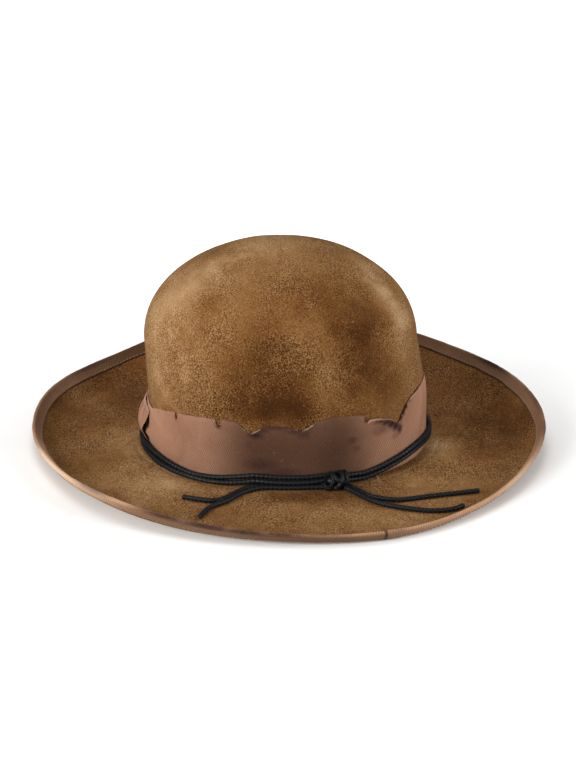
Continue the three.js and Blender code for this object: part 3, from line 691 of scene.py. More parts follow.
GROUPS = {
    "nap": brushed_nap_group(),
    "ribs": corded_ribs_group(),
    "scorch_and_shade": scorch_and_shade_marks_group(),
    "lint_and_glints": lint_and_glints_group(),
}


def use_group(tree, key, **values):
    made = tree.nodes.new("ShaderNodeGroup")
    made.node_tree = GROUPS[key]
    for label, value in values.items():
        made.inputs[label.replace("_", " ")].default_value = value
    return made.outputs


def new_material(name, roughness, **settings):
    material = bpy.data.materials.new(name)
    material.use_nodes = True
    tree = material.node_tree
    shader = tree.nodes["Principled BSDF"]
    shader.inputs["Roughness"].default_value = roughness
    for label, value in settings.items():
        shader.inputs[label.replace("_", " ")].default_value = value
    return material, tree, shader


def connect(tree, shader, colour, roughness, height, distance, strength):
    """Joins a material's colour, its roughness if it varies, and its bump to the shader."""
    tree.links.new(colour, shader.inputs["Base Color"])
    if roughness:
        tree.links.new(roughness, shader.inputs["Roughness"])
    made = node(tree, "Bump", {"Height": height, "Distance": distance, "Strength": strength})
    tree.links.new(made.outputs["Normal"], shader.inputs["Normal"])


def felt_material():
    material, tree, shader = new_material(
        "mottled_felt", 0.92, Specular_IOR_Level=0.04, Sheen_Weight=0.03, Sheen_Roughness=0.5,
        Sheen_Tint=(0.95, 0.72, 0.45, 1.0),
    )
    place = object_place(tree)
    clouds = noise_value(tree, place, 17.0, 4.0, 0.55, 0.7)
    blotches = noise_value(tree, place, 48.0, 4.0, 0.62, 0.9)
    # The tint attribute carries the felt's dye patches and its painted light and shade.
    tint = attribute_value(tree, "tint")
    level = plus(tree, times(tree, clouds, 0.30), times(tree, blotches, 0.24))
    level = plus(tree, level, 0.182)
    level = plus(tree, level, times(tree, tint, 0.5))
    nap = use_group(tree, "nap", Fineness=1100.0, Patchiness=26.0)
    strength = remap(tree, level, 0.30, 0.68, 0.72, 0.28)
    speckle = times(tree, arithmetic(tree, "SUBTRACT", nap["Shade"], 0.5), strength)
    level = plus(tree, level, speckle)
    ramp = tree.nodes.new("ShaderNodeValToRGB")
    tree.links.new(level, ramp.inputs["Fac"])
    stops = [
        (0.00, (0.040, 0.0140, 0.0036)),
        (0.22, (0.080, 0.0305, 0.0075)),
        (0.42, (0.150, 0.0660, 0.0188)),
        (0.60, (0.240, 0.1290, 0.0520)),
        (0.82, (0.415, 0.2760, 0.1560)),
    ]
    steps = ramp.color_ramp.elements
    steps[0].position, steps[1].position = stops[0][0], stops[-1][0]
    steps[0].color, steps[1].color = (*stops[0][1], 1), (*stops[-1][1], 1)
    for position, colour in stops[1:-1]:
        steps.new(position).color = (*colour, 1)
    lint_and_glints = use_group(tree, "lint_and_glints", Fineness=520.0, Rarity=0.69)
    linted = times(tree, lint_and_glints["Mask"], 0.2)
    colour = blend_colours(tree, linted, ramp.outputs["Color"], (0.42, 0.27, 0.14))
    roughness = remap(tree, nap["Shade"], 0.1, 0.9, 0.96, 0.8)
    connect(tree, shader, colour, roughness, nap["Height"], 0.0012, 0.6)
    return material


def ribbon_material(name, base, shadow, pale, dye_and_shade, pitch):
    material, tree, shader = new_material(
        name, 0.78, Specular_IOR_Level=0.10, Sheen_Weight=0.02, Sheen_Roughness=0.4,
        Sheen_Tint=(1.0, 0.82, 0.74, 1.0),
    )
    place = object_place(tree)
    ribs = use_group(tree, "ribs", Rib_pitch=pitch, Thread_pitch=0.45)
    wash = noise_value(tree, place, 24.0, 4.0, 0.6, 0.6)
    worn = blend_colours(tree, remap(tree, wash, 0.36, 0.66), shadow, base)
    # Dye darkens the ribbons; on the brim ribbon it also stands for painted shade.
    darkened = blend_colours(tree, attribute_value(tree, "dye_and_shade"), worn, dye_and_shade)
    # Painted shade in the rib furrows.
    furrow_shade = remap(tree, ribs["Shade"], 0.15, 0.85, 0.40, 0.0)
    rib_shaded = blend_colours(tree, furrow_shade, darkened, (0.045, 0.018, 0.014))
    lint_and_glints = use_group(tree, "lint_and_glints", Fineness=700.0, Rarity=0.70)
    linted = blend_colours(tree, times(tree, lint_and_glints["Mask"], 0.15), rib_shaded, (0.50, 0.33, 0.24))
    # Scorch marks in brown and black; on the band they include painted shade.
    burnt_and_shaded = use_group(tree, "scorch_and_shade", Raggedness=0.30, Speck_size=320.0)
    brown = times(tree, burnt_and_shaded["Brown"], 0.85)
    browned = blend_colours(tree, brown, linted, (0.042, 0.017, 0.014))
    charred_and_shaded = blend_colours(tree, burnt_and_shaded["Black"], browned, (0.006, 0.003, 0.004))
    # Painted shade along the brim ribbon's edge, and a dark line at its seam.
    shaded_edge_and_seam = blend_colours(tree, attribute_value(tree, "edge_shade_and_seam"), charred_and_shaded, (0.012, 0.005, 0.003))
    # Pale threads, wear and painted highlights.
    bared_and_highlighted = blend_colours(tree, attribute_value(tree, "bare_and_highlight"), shaded_edge_and_seam, pale)
    roughness = remap(tree, ribs["Shade"], 0.0, 1.0, 0.85, 0.66)
    connect(tree, shader, bared_and_highlighted, roughness, ribs["Height"], 0.00045, 0.75)
    return material


def cord_material():
    material, tree, shader = new_material("waxed_cord", 0.5, Specular_IOR_Level=0.16)
    place = object_place(tree)
    wax = noise_value(tree, place, 900.0, 4.0, 0.65)
    smear = noise_value(tree, place, 120.0, 3.0, 0.6)
    # Painted shade in the braid's crevices, the crests lighter.
    crest = times(tree, attribute_value(tree, "crest"), remap(tree, wax, 0.3, 0.7, 0.5, 1.0))
    colour = blend_colours(tree, crest, (0.0004, 0.0004, 0.0005), (0.0150, 0.0166, 0.0196))
    # Pale specks on the cord: painted glints of the wax.
    lint_and_glints = use_group(tree, "lint_and_glints", Fineness=900.0, Rarity=0.72)
    colour = blend_colours(tree, times(tree, lint_and_glints["Mask"], 0.08), colour, (0.25, 0.25, 0.25))
    roughness = remap(tree, smear, 0.35, 0.65, 0.30, 0.54)
    connect(tree, shader, colour, roughness, wax, 0.00025, 0.6)
    return material


def thread_material(name, dark, light):
    material, tree, shader = new_material(name, 0.6, Specular_IOR_Level=0.25)
    twist = noise_value(tree, object_place(tree), 1800.0, 2.0)
    colour = blend_colours(tree, remap(tree, twist, 0.35, 0.65), dark, light)
    connect(tree, shader, colour, None, twist, 0.0001, 0.5)
    return material


FELT_FINISH = felt_material()
BAND_FINISH = ribbon_material(
    "band_ribbon", (0.485, 0.266, 0.168), (0.365, 0.182, 0.110), (0.52, 0.34, 0.25),
    (0.060, 0.0255, 0.0120), 1.7,
)
BINDING_FINISH = ribbon_material(
    "binding_ribbon", (0.600, 0.360, 0.215), (0.470, 0.265, 0.145), (0.76, 0.55, 0.41),
    (0.066, 0.0285, 0.0090), 1.9,
)
CORD_FINISH = cord_material()
THREAD_FINISH = thread_material("sewing_thread", (0.16, 0.085, 0.05), (0.34, 0.21, 0.14))
FRAY_FINISH = thread_material("frayed_thread", (0.34, 0.21, 0.14), (0.56, 0.39, 0.28))

# Felt body

FELT_COLUMNS = 240
DOME_ROWS = 41
WALL_ROWS = 30
BRIM_ROWS = 48
ROLL_ROWS_BELOW = 14
# Painted shade on the brim's felt, deeper on its far side
NEAR_BRIM_PAINTED_SHADE = 0.02
FAR_BRIM_PAINTED_SHADE = 0.19


def felt_tint(points):
    """Hand-dyed patches with edges broken up by noise, and painted light and shade on the brim."""
    ragged = 1.0 + 0.35 * grain_at(points, 16.0, 3.7) + 0.25 * grain_at(points, 6.0, 9.1)
    low = 1 - smooth_step(3.0, 30.0, points[:, 2])
    far = 1 - smooth_step(-60.0, 95.0, points[:, 0])
    # Painted shade: the brim is darker, more so on its far side.
    tint = -low * (NEAR_BRIM_PAINTED_SHADE + FAR_BRIM_PAINTED_SHADE * far)
    across = (points[:, 0] - CROWN_MIDDLE[0]) / HEAD_HALF_WIDTH
    along = (points[:, 1] - CROWN_MIDDLE[1]) / HEAD_HALF_LENGTH
    from_wall = (np.hypot(across, along) - 1) * CROWN_RADIUS
    facing = smooth_step(-0.3, 0.5, across) * low
    from_wall += RING_WANDER * grain_at(points, 26.0, 5.5)
    # Painted highlight and shade of the crease, on the side facing +X only.
    for away, half_width, strength in CREASE_RING_LIGHT_AND_SHADE:
        tint += strength * facing * hump(from_wall, away, half_width)
    for x, y, z, radius, strength in FELT_PATCHES:
        away = np.linalg.norm(points - (x, y, z), axis=1) * ragged
        tint += strength * np.exp(-((away / radius) ** 2))
    return tint


def make_felt():
    """Crown, brim and rolled edge as one wall, from the dome's top round the lip and back."""
    azimuth = (np.arange(FELT_COLUMNS) * 360.0 / FELT_COLUMNS)[:, None]
    bend, _, flat = brim_roll(azimuth)
    lifts = np.linspace(90, 0, DOME_ROWS)[1:][None, :]
    heights = np.linspace(DOME_BASE, FELT + FOLD_RADIUS, WALL_ROWS)[1:][None, :]
    share = np.linspace(0, 1, BRIM_ROWS)[None, :]
    edge_turn = np.radians(np.linspace(90, -90, 7))[None, :]
    tip = felt_half(azimuth, bend)

    def fold(turn_from, turn_to, radius, count):
        turn = np.radians(np.linspace(turn_from, turn_to, count))[None, :]
        reach = FOLD_RADIUS - radius * np.sin(turn)
        points = crown_points(azimuth, FELT + FOLD_RADIUS + 0 * turn, reach)
        points[..., 2] = FELT + FOLD_RADIUS - radius * np.cos(turn)
        return points

    def flat_part(height):
        start = crown_points(azimuth, FELT + FOLD_RADIUS, FOLD_RADIUS)
        angle = np.radians(azimuth)
        stop = np.stack([
            BRIM_MIDDLE[0] + (HEAD_HALF_WIDTH + flat) * np.cos(angle),
            BRIM_MIDDLE[1] + (HEAD_HALF_LENGTH + flat) * np.sin(angle),
            0 * angle,
        ], axis=-1)
        points = start + (stop - start) * share[:, 1:-1, None]
        points[..., 2] = height
        return points

    outer = [
        dome_points(azimuth, lifts, 0.0),
        crown_points(azimuth, heights, 0.0),
        fold(90, 0, FOLD_RADIUS, 5)[:, 1:],
        flat_part(FELT),
        roll_points(azimuth, bend * share, felt_half(azimuth, bend * share)),
        roll_points(azimuth, bend, tip * np.sin(edge_turn), tip * np.cos(edge_turn)),
    ]
    few = np.linspace(1, 0, ROLL_ROWS_BELOW)[None, :]
    inner = [
        roll_points(azimuth, bend * few, -felt_half(azimuth, bend * few)),
        flat_part(0.0)[:, ::-2],
        fold(0, 90, FOLD_RADIUS + FELT, 7),
        crown_points(azimuth, heights[:, ::-2], -FELT),
        dome_points(azimuth, lifts[:, ::-2], -FELT),
    ]
    sheet = np.concatenate(outer + inner, axis=1)
    tops = [dome_points(0.0, 90.0, 0.0), dome_points(0.0, 90.0, -FELT)]
    data = {"tint": felt_tint(sheet.reshape(-1, 3))}
    mesh = grid_mesh("felt_hat", sheet, True, False, tops, data)
    add_piece("felt_hat", mesh, FELT_FINISH, "felt", "felt_body")


# Ribbon round the brim

BINDING_COLUMNS = 620
TIP_WIDTH = 4.0
TIP_SHARE = 0.4
LAP_LIFT = 0.5
LAP_LEVEL = 0.6
EDGE_TUCK = 0.3
TUCK_SHARE = 0.06
LEAST_SLOPE = 0.02
SEAM_DARKNESS = 0.85

# Unevenness of its width and of its face: strength, size, seed
UNEVEN_WIDTH = [(0.5, 22.0, 1.3), (0.25, 7.0, 5.2)]
PUCKER = [(0.20, 9.0, 2.2), (0.12, 3.2, 7.7)]

# Where its outer leg is wider: azimuth, half width of the stretch, how much
OUTER_WIDER = [(298, 32, 2.0), (55, 32, 2.0)]

# Extra columns close to the overlap, in turns from it, and places across one leg of the
# ribbon, from its edge to the lip
SEAM_STOPS = np.array([0.0004, 0.0008, 0.9986, 0.9990, 0.9994, 0.9998])
LEG_PLACES = np.array([0, 0.05, 0.1, 0.18, 0.3, 0.42, 0.55, 0.7, 0.85, 1.0])


def around_brim(azimuth):
    """A ring of places for noise that goes round the brim without a break."""
    angle = np.radians(azimuth)
    return np.concatenate([
        BRIM_RADIUS * np.cos(angle), BRIM_RADIUS * np.sin(angle), 0 * angle,
    ], axis=1)


def binding_legs(azimuth):
    """Slopes at which the ribbon's inner and outer leg end, and the slope at the lip."""
    bend, radius, _ = brim_roll(azimuth)
    uneven = mixed_grain(around_brim(azimuth), UNEVEN_WIDTH)[:, None]
    by_width = bend - (BINDING_WIDTH + uneven) / radius
    wider = sum(more * hump(azimuth, middle, half_width) for middle, half_width, more in OUTER_WIDER)
    outer_width = bend - (BINDING_OUTER + wider + uneven) / radius
    over_floor = np.clip((radius + FELT / 2 - GAP) / (radius + FELT / 2 + BINDING), -1, 1)
    return np.maximum(by_width, LEAST_SLOPE), np.maximum(outer_width, np.arccos(over_floor)), bend


def make_binding():
    """The ribbon folded over the brim's edge, as a closed ring of sections."""
    turn = np.arange(BINDING_COLUMNS) / BINDING_COLUMNS
    turn = np.sort(np.concatenate([turn, SEAM_STOPS]))
    azimuth = (BINDING_SEAM + 360.0 * turn)[:, None]
    inside, outside, bend = binding_legs(azimuth)
    share = LEG_PLACES[None, :]
    nose = np.radians(np.linspace(90, -90, 11))[None, 1:-1]
    pucker = mixed_grain(around_brim(azimuth), PUCKER)[:, None]
    lapped = LAP_LIFT * (1 - smooth_step(BINDING_LAP * LAP_LEVEL, BINDING_LAP, 360.0 * turn))[:, None]
    inner_slopes = inside + (bend - inside) * share
    outer_slopes = outside + (bend - outside) * share[:, ::-1]
    tip_half = felt_half(azimuth, bend)

    def face(away, extra, loose):
        inner = felt_half(azimuth, inner_slopes) + away + extra + loose
        outer = felt_half(azimuth, outer_slopes) + away + extra + loose[:, ::-1]
        round_tip = tip_half + away + extra
        inner_leg = roll_points(azimuth, inner_slopes, inner)
        outer_leg = roll_points(azimuth, outer_slopes, -outer)
        past_lip = TIP_SHARE * tip_half + round_tip * np.cos(nose)
        tip = roll_points(azimuth, bend, round_tip * np.sin(nose), past_lip)
        return np.concatenate([inner_leg, tip, outer_leg], axis=1)

    leg, tip_count = share.shape[1], nose.shape[1]
    turned_under = -EDGE_TUCK * (1 - smooth_step(0, TUCK_SHARE, share))
    under = face(BINDING_GAP, 0 * pucker, 0 * share)
    over = face(BINDING_GAP + BINDING, pucker + lapped, turned_under)
    sheet = both_faces(over, under)
    along = np.repeat(run_along(over[:, leg + tip_count // 2])[:, None], sheet.shape[1], axis=1)
    width = 2 * BINDING_WIDTH + TIP_WIDTH
    across_leg = BINDING_WIDTH * LEG_PLACES
    across_tip = BINDING_WIDTH + np.linspace(0, TIP_WIDTH, tip_count + 2)[1:-1]
    across_one = np.concatenate([across_leg, across_tip, width - across_leg[::-1]])
    across = np.repeat(np.concatenate([across_one, across_one[::-1]])[None, :], len(turn), axis=0)
    spot = 1 - across / (width / 2)
    scorch_and_shade = patches(BINDING_SCORCH, azimuth, spot, np.maximum, turn_hump)
    # Dye and painted shade: the far side and, at the front, the outer leg are darker.
    dye_and_shade = np.zeros(along.shape)
    outer_leg = smooth_step(0.05, -0.2, spot)
    for middle, half_width, strength, all_over in BINDING_DYE_AND_SHADE:
        dye_and_shade = dye_and_shade + strength * turn_hump(azimuth, middle, half_width) * (1 if all_over else outer_leg)
    # Wear and a painted highlight, strongest at the lip.
    bare_and_highlight = np.zeros(along.shape)
    near_lip = smooth_step(0.9, 0.2, np.abs(spot))
    for middle, half_width, strength in BINDING_WEAR_AND_HIGHLIGHT:
        bare_and_highlight = bare_and_highlight + strength * hump(azimuth, middle, half_width) * near_lip
    # Painted shade along the inner leg's edge, which stands off the felt, and a dark line at the seam.
    painted_edge_shade_and_seam = 1 - smooth_step(0.2, 0.75, across)
    painted_edge_shade_and_seam = np.maximum(painted_edge_shade_and_seam, SEAM_DARKNESS * turn_hump(azimuth, BINDING_SEAM, 0.3))
    data = {
        "along": along, "across": across, "scorch_and_shade": scorch_and_shade, "dye_and_shade": dye_and_shade, "edge_shade_and_seam": painted_edge_shade_and_seam,
        "bare_and_highlight": bare_and_highlight,
    }
    mesh = grid_mesh("brim_ribbon", sheet, True, True, data=data)
    add_piece("brim_ribbon", mesh, BINDING_FINISH, "binding_ribbon", "brim_binding")


STITCH_SPACING = 3.3
STITCH_LENGTH = 2.1
STITCH_RADIUS = 0.24
STITCH_LIFT = 0.1
STITCH_PLACE = 0.2
STITCH_LEAN = 0.0035
STITCH_SWAY = 3.3
STITCH_HALF_TURN = 0.17
STITCH_ROW_RADIUS = 172.0
STITCH_ROW_LONGER = 15.0
THREAD_SIDES = 6

# Sections of a stitch: place along it, size
STITCH_SECTIONS = [(-0.5, 0.3), (-0.3, 0.9), (0, 1), (0.3, 0.9), (0.5, 0.3)]


def make_stitches():
    """A row of small stitches on each leg of the brim ribbon."""
    points, faces = [], []
    azimuth = 0.0
    while azimuth < 360.0:
        here = np.array([[azimuth]])
        inside, outside, bend = binding_legs(here)
        for start, side in ((inside, 1), (outside, -1)):
            slope = start + (bend - start) * STITCH_PLACE
            away = side * (float(felt_half(here, slope)) + BINDING_GAP + BINDING + STITCH_LIFT)
            lean = STITCH_LEAN * math.sin(azimuth * STITCH_SWAY)
            ends = [
                roll_points(here + turn, slope + lean * turn, away)[0, 0]
                for turn in (-STITCH_HALF_TURN, STITCH_HALF_TURN)
            ]
            middle, line = (ends[0] + ends[1]) / 2, unit(ends[1] - ends[0])
            inward, on_it = (roll_points(here, slope, off)[0, 0] for off in (away + side, away))
            up = unit(inward - on_it)
            beside = np.cross(line, up)
            first = len(points)
            for place, size in STITCH_SECTIONS:
                for angle in np.linspace(0, 2 * math.pi, THREAD_SIDES, endpoint=False):
                    off = beside * math.cos(angle) + up * math.sin(angle)
                    points.append(middle + line * STITCH_LENGTH * place + off * STITCH_RADIUS * size)
            faces += ring_faces(len(STITCH_SECTIONS), THREAD_SIDES, first)
            faces.append(tuple(range(first, first + THREAD_SIDES))[::-1])
            faces.append(tuple(range(len(points) - THREAD_SIDES, len(points))))
        radius = STITCH_ROW_RADIUS + STITCH_ROW_LONGER * abs(math.sin(math.radians(azimuth)))
        azimuth += math.degrees(STITCH_SPACING / radius)
    mesh = smooth_mesh("brim_stitches", points, faces)
    add_piece("brim_stitches", mesh, THREAD_FINISH, "binding_ribbon")


# Torn band

LEVEL_TOP = 33.0
LEVEL_ROWS = 22
TORN_ROWS = 14
MEASURED_ROW = 8
EDGE_THINNING = 0.5
END_THINNING = 0.7
RIM_SCORCH = 0.3
DARKEST_DYE = 0.96
LAP_OUT = 1.3
CLOSING_BEGINS = 12.0
CLOSING_ENDS = 1.0
THIN_STRETCH = 3.0
CURL_SHARPNESS = 1.6
FRAY_RADIUS = 0.11
FRAY_STEP = 0.8
FRAY_ROOT = 0.5
FRAY_CURL = 0.45
BAND_STEP = 0.32
CLOSEST_STOP = 0.14

# Unevenness of the torn edge: strength, size, seed
EDGE_FRAY = [(0.35, 3.0, 4.1), (0.3, 0.9, 8.3)]


def band_standoff(azimuth, height, top):
    """How far the ribbon's inner face stands off the crown."""
    lap = smooth_step(LAP_BEGINS, LAP_ENDS, azimuth) * LAP_OUT
    bulge = smooth_step(LAP_ENDS, BAND_END - LOOSE_STRETCH, azimuth) * straight_rows(LOOSE_END, 1, height)
    closing = smooth_step(BAND_END - CLOSING_BEGINS, BAND_END - CLOSING_ENDS, azimuth)
    loose = bulge * (1 - closing) + closing * straight_rows(LOOSE_END, 2, height)
    off = GAP + lap + loose
    below = top - height
    for middle, half_width, out, depth in EDGE_CURLS:
        by_depth = np.clip(1 - below / depth, 0, 1) ** CURL_SHARPNESS
        off = off + out * hump(azimuth, middle, half_width) * by_depth
    middle, half_width, up, half_height, out = UNDER_FOLD
    off = off + out * hump(azimuth, middle, half_width) * hump(height, up, half_height)
    return off


def both_faces(outer, inner):
    """Rows of a ribbon's outer face, then those of its inner face back to the start."""
    return np.concatenate([outer, inner[:, ::-1]], axis=1)


def run_along(line):
    """How far each point of a line is from its start."""
    return np.cumsum(np.linalg.norm(np.diff(line, axis=0, prepend=line[:1]), axis=1))


def stretch_ends(values):
    """Numbers for the two extra sections that close each end of a band or cord."""
    return np.concatenate([values[:1], values[:1], values, values[-1:], values[-1:]])


def make_band():
    """The torn ribbon round the crown, from its hidden start to its loose end."""
    stops = np.arange(BAND_START, BAND_END, BAND_STEP)
    away = np.abs(stops[:, None] - TORN_EDGE[None, :, 0]).min(axis=1)
    stops = np.sort(np.concatenate([stops[away > CLOSEST_STOP], TORN_EDGE[:, 0]]))
    azimuth = stops[:, None]
    around = np.stack([stops * CROWN_MM_PER_DEGREE, 0 * stops, 0 * stops], axis=1)
    top = (straight_rows(TORN_EDGE, 1, stops) + mixed_grain(around, EDGE_FRAY))[:, None]
    low = np.linspace(BAND_FOOT, LEVEL_TOP, LEVEL_ROWS)[None, :] + 0 * top
    high = LEVEL_TOP + (top - LEVEL_TOP) * (np.linspace(0, 1, TORN_ROWS + 1) ** 0.8)[None, 1:]
    height = np.concatenate([low, high], axis=1)
    share = (height - BAND_FOOT) / (top - BAND_FOOT)
    end = smooth_step(BAND_END - LOOSE_STRETCH, BAND_END, azimuth)
    ragged = straight_rows(LOOSE_EDGE, 1, height) + 0.25 * np.sin(height * 2.1)
    place = azimuth + end * ragged
    rippled = np.stack([place * CROWN_MM_PER_DEGREE, height, 0 * height], axis=-1)
    ripple = grain_at(rippled.reshape(-1, 3), 14.0, 6.6).reshape(height.shape)
    calm = smooth_step(14, 24, height)
    off = band_standoff(azimuth, height, top) + 0.35 * calm * (ripple + 0.35)
    edge = hump(share, 1.0, 0.03)
    inner = crown_points(place, height, off)
    near_end = smooth_step(BAND_END - THIN_STRETCH, BAND_END, azimuth)
    thin = np.maximum(EDGE_THINNING * edge, END_THINNING * near_end)
    outer = crown_points(place, height, off + RIBBON * (1 - thin))
    sheet = both_faces(outer, inner)
    run = run_along(outer[:, MEASURED_ROW])[:, None] + end * ragged * CROWN_MM_PER_DEGREE
    rim = RIM_SCORCH * np.clip(1 - (top - height) / 1.6, 0, 1) * (0.5 + 0.5 * np.sin(place * 0.9))
    burnt_and_shaded = np.maximum(patches(BAND_SCORCH_AND_SHADE, place, height, np.maximum), rim)
    darkened = np.clip(patches(BAND_DYE, place, height, np.add), 0, DARKEST_DYE)
    # Pale threads and a painted highlight along the curled torn edge.
    bare_and_highlight = np.zeros(height.shape)
    for middle, half_width, strength in EDGE_THREADS_AND_HIGHLIGHT:
        reach = strength * smooth_step(half_width * 1.15, half_width * 0.85, np.abs(place - middle))
        bare_and_highlight = np.maximum(bare_and_highlight, reach)
    bare_and_highlight = bare_and_highlight * np.clip(1.5 - (top - height) / 0.8, 0, 1) * (0.8 + 0.3 * ripple)
    mid_ends = [(cut + cut[:, ::-1]) / 2 for cut in (sheet[:1], sheet[-1:])]
    capped = np.concatenate([mid_ends[0], sheet[:1], sheet, sheet[-1:], mid_ends[1]])
    data = {"along": run, "across": height, "scorch_and_shade": burnt_and_shaded, "bare_and_highlight": bare_and_highlight, "dye_and_shade": darkened}
    data = {key: stretch_ends(both_faces(values, values)) for key, values in data.items()}
    mesh = grid_mesh("torn_band", capped, False, True, data=data)
    add_piece("torn_band", mesh, BAND_FINISH, "band_ribbon", "hat_band")


def thread_sections(points, radius):
    """A short thread as six-sided sections that thin towards its far end."""
    points = np.asarray(points, float)
    ahead = unit(np.gradient(points, axis=0))
    side = unit(np.cross(ahead, (0.31, 0.17, 0.94)))
    up = np.cross(ahead, side)
    angle = np.linspace(0, 2 * math.pi, THREAD_SIDES, endpoint=False)[None, :, None]
    size = (radius * np.linspace(1, 0.5, len(points)))[:, None, None]
    around = side[:, None, :] * np.cos(angle) + up[:, None, :] * np.sin(angle)
    return cap_ends(points[:, None, :] + size * around)


def make_frayed_threads():
    """Broken threads along the torn edge and two that have fallen on the brim."""
    points, faces = [], []
    threads = [even_route(route, FRAY_STEP)[0] for route in FALLEN_THREADS]
    for azimuth, height, length, lean in FRAYED_THREADS:
        t = np.linspace(0, 1, 6)
        lean = math.radians(lean)
        off = float(band_standoff(np.array(azimuth), np.array(height), height)) + RIBBON * 0.6
        curl = off + FRAY_CURL * length * t ** 1.5
        rise = height - FRAY_ROOT + length * t * math.cos(lean)
        turn = azimuth + length * t * math.sin(lean) / CROWN_MM_PER_DEGREE
        threads.append(crown_points(turn, rise, curl))
    for thread in threads:
        sections = thread_sections(thread, FRAY_RADIUS)
        faces += ring_faces(len(sections), THREAD_SIDES, len(points))
        points += list(sections.reshape(-1, 3))
    mesh = smooth_mesh("frayed_threads", points, faces)
    add_piece("frayed_threads", mesh, FRAY_FINISH, "band_ribbon")


# Braided cord

SPAN_POINTS = 24
FEWEST_STEPS = 4


def even_route(points, step):
    """Points at even steps along a smooth curve through a route, and how far along each is."""
    points = np.asarray(points, float)
    padded = np.vstack([2 * points[0] - points[1], points, 2 * points[-1] - points[-2]])
    fine = []
    for i in range(1, len(padded) - 2):
        p0, p1, p2, p3 = padded[i - 1:i + 3]
        for s in np.linspace(0, 1, SPAN_POINTS, endpoint=False):
            fine.append(0.5 * (
                2 * p1 + (p2 - p0) * s + (2 * p0 - 5 * p1 + 4 * p2 - p3) * s ** 2
                + (3 * p1 - p0 - 3 * p2 + p3) * s ** 3
            ))
    fine = np.array(fine + [points[-1]])
    run = np.concatenate([[0], np.cumsum(np.linalg.norm(np.diff(fine, axis=0), axis=1))])
    count = max(int(round(run[-1] / step)), FEWEST_STEPS)
    at = np.linspace(0, run[-1], count + 1)
    even = np.stack([np.interp(at, run, fine[:, k]) for k in range(3)], axis=1)
    return even, at


BRAID_SIDES = 24
BRAID_STEP = 0.32
BRAID_PITCH = 3.2
BRAID_STRANDS = 4
BRAID_RELIEF = 0.24
BRAID_SHARPNESS = 2.6
TIP_ROUNDING = 0.9
TIP_SIZE = 0.55
TURN_POINTS = 180
ROUTE_STEP = 0.5
ROUTE_EVERY = 12


def braided_tube(route, closed=False, drawn_tip=False):
    """Sections of a round braided cord along a route in millimetres."""
    line, run = even_route(route, BRAID_STEP)
    if closed:
        line, run = line[:-1], run[:-1]
        ahead = np.roll(line, -1, axis=0) - np.roll(line, 1, axis=0)
    else:
        ahead = np.gradient(line, axis=0)
    ahead = unit(ahead)
    side = np.zeros_like(line)
    side[0] = unit(np.cross(ahead[0], (0.13, 0.21, 1.0)))
    for i in range(1, len(line)):
        side[i] = unit(side[i - 1] - ahead[i] * np.dot(side[i - 1], ahead[i]))
    if closed:
        back = unit(side[-1] - ahead[0] * np.dot(side[-1], ahead[0]))
        twist = math.atan2(np.dot(np.cross(back, side[0]), ahead[0]), np.dot(back, side[0]))
        spread = np.linspace(0, twist, len(line))[:, None]
        side = side * np.cos(spread) + np.cross(ahead, side) * np.sin(spread)
    up = np.cross(ahead, side)
    angle = np.linspace(0, 2 * math.pi, BRAID_SIDES, endpoint=False)[None, :]
    travel = (run * 2 * math.pi / BRAID_PITCH)[:, None]
    left, right = BRAID_STRANDS * angle + travel, BRAID_STRANDS * angle - travel
    over = 0.5 + 0.5 * np.sin(travel + 0.7) * np.cos(BRAID_STRANDS * angle)
    strands = np.maximum(np.abs(np.cos(left / 2)) * (0.7 + 0.3 * over),
                         np.abs(np.cos(right / 2)) * (1.0 - 0.3 * over))
    crest = ((strands - strands.min()) / (strands.max() - strands.min())) ** BRAID_SHARPNESS
    size = CORD_RADIUS * (1 - BRAID_RELIEF + BRAID_RELIEF * crest)
    if drawn_tip:
        close = np.clip((run[-1] - run) / TIP_ROUNDING, 0, 1)
        draw = np.sqrt(np.clip(1 - (1 - close) ** 2, 0.02, 1))
        size = size * (TIP_SIZE + (1 - TIP_SIZE) * draw)[:, None]
    sections = (
        line[:, None, :]
        + side[:, None, :] * (size * np.cos(angle))[..., None]
        + up[:, None, :] * (size * np.sin(angle))[..., None]
    )
    return sections, line, crest


def cord_mesh(name, sections, crest):
    return grid_mesh(name, cap_ends(sections), False, True, data={"crest": stretch_ends(crest)})


def wrap_route(rows):
    azimuth = np.linspace(rows[0, 0], rows[-1, 0], TURN_POINTS)
    slack = smooth_step(*SLACK_GROWS, azimuth) * (1 - smooth_step(*SLACK_ENDS, azimuth))
    out = smooth_rows(rows, 1, azimuth) + SLACK_OUT * slack
    height = smooth_rows(rows, 2, azimuth) - SLACK_DOWN * slack
    points = crown_points(azimuth, 0 * azimuth + FELT, out)
    points[:, 2] = height
    return points


def clear_of_knot(points, reach):
    """The points of a route that lie outside the knot."""
    away = np.linalg.norm((points - knot_middle()) / KNOT_SHAPE, axis=1)
    return points[away > reach]


def knot_middle():
    place = crown_points(np.array(KNOT_AZIMUTH), FELT, KNOT_OUT)
    return np.array([place[0], place[1], KNOT_HEIGHT])


def make_wraps():
    for name, rows, node_name in (
        ("cord_turn_lower", LOWER_WRAP, "cord_wrap_lower"),
        ("cord_turn_upper", UPPER_WRAP, "cord_wrap_upper"),
    ):
        route = wrap_route(rows)
        sections, _, crest = braided_tube(clear_of_knot(route, KNOT_TAKES_TURN))
        mesh = cord_mesh(name, sections, crest)
        add_piece(name, mesh, CORD_FINISH, "waxed_cord", node_name)


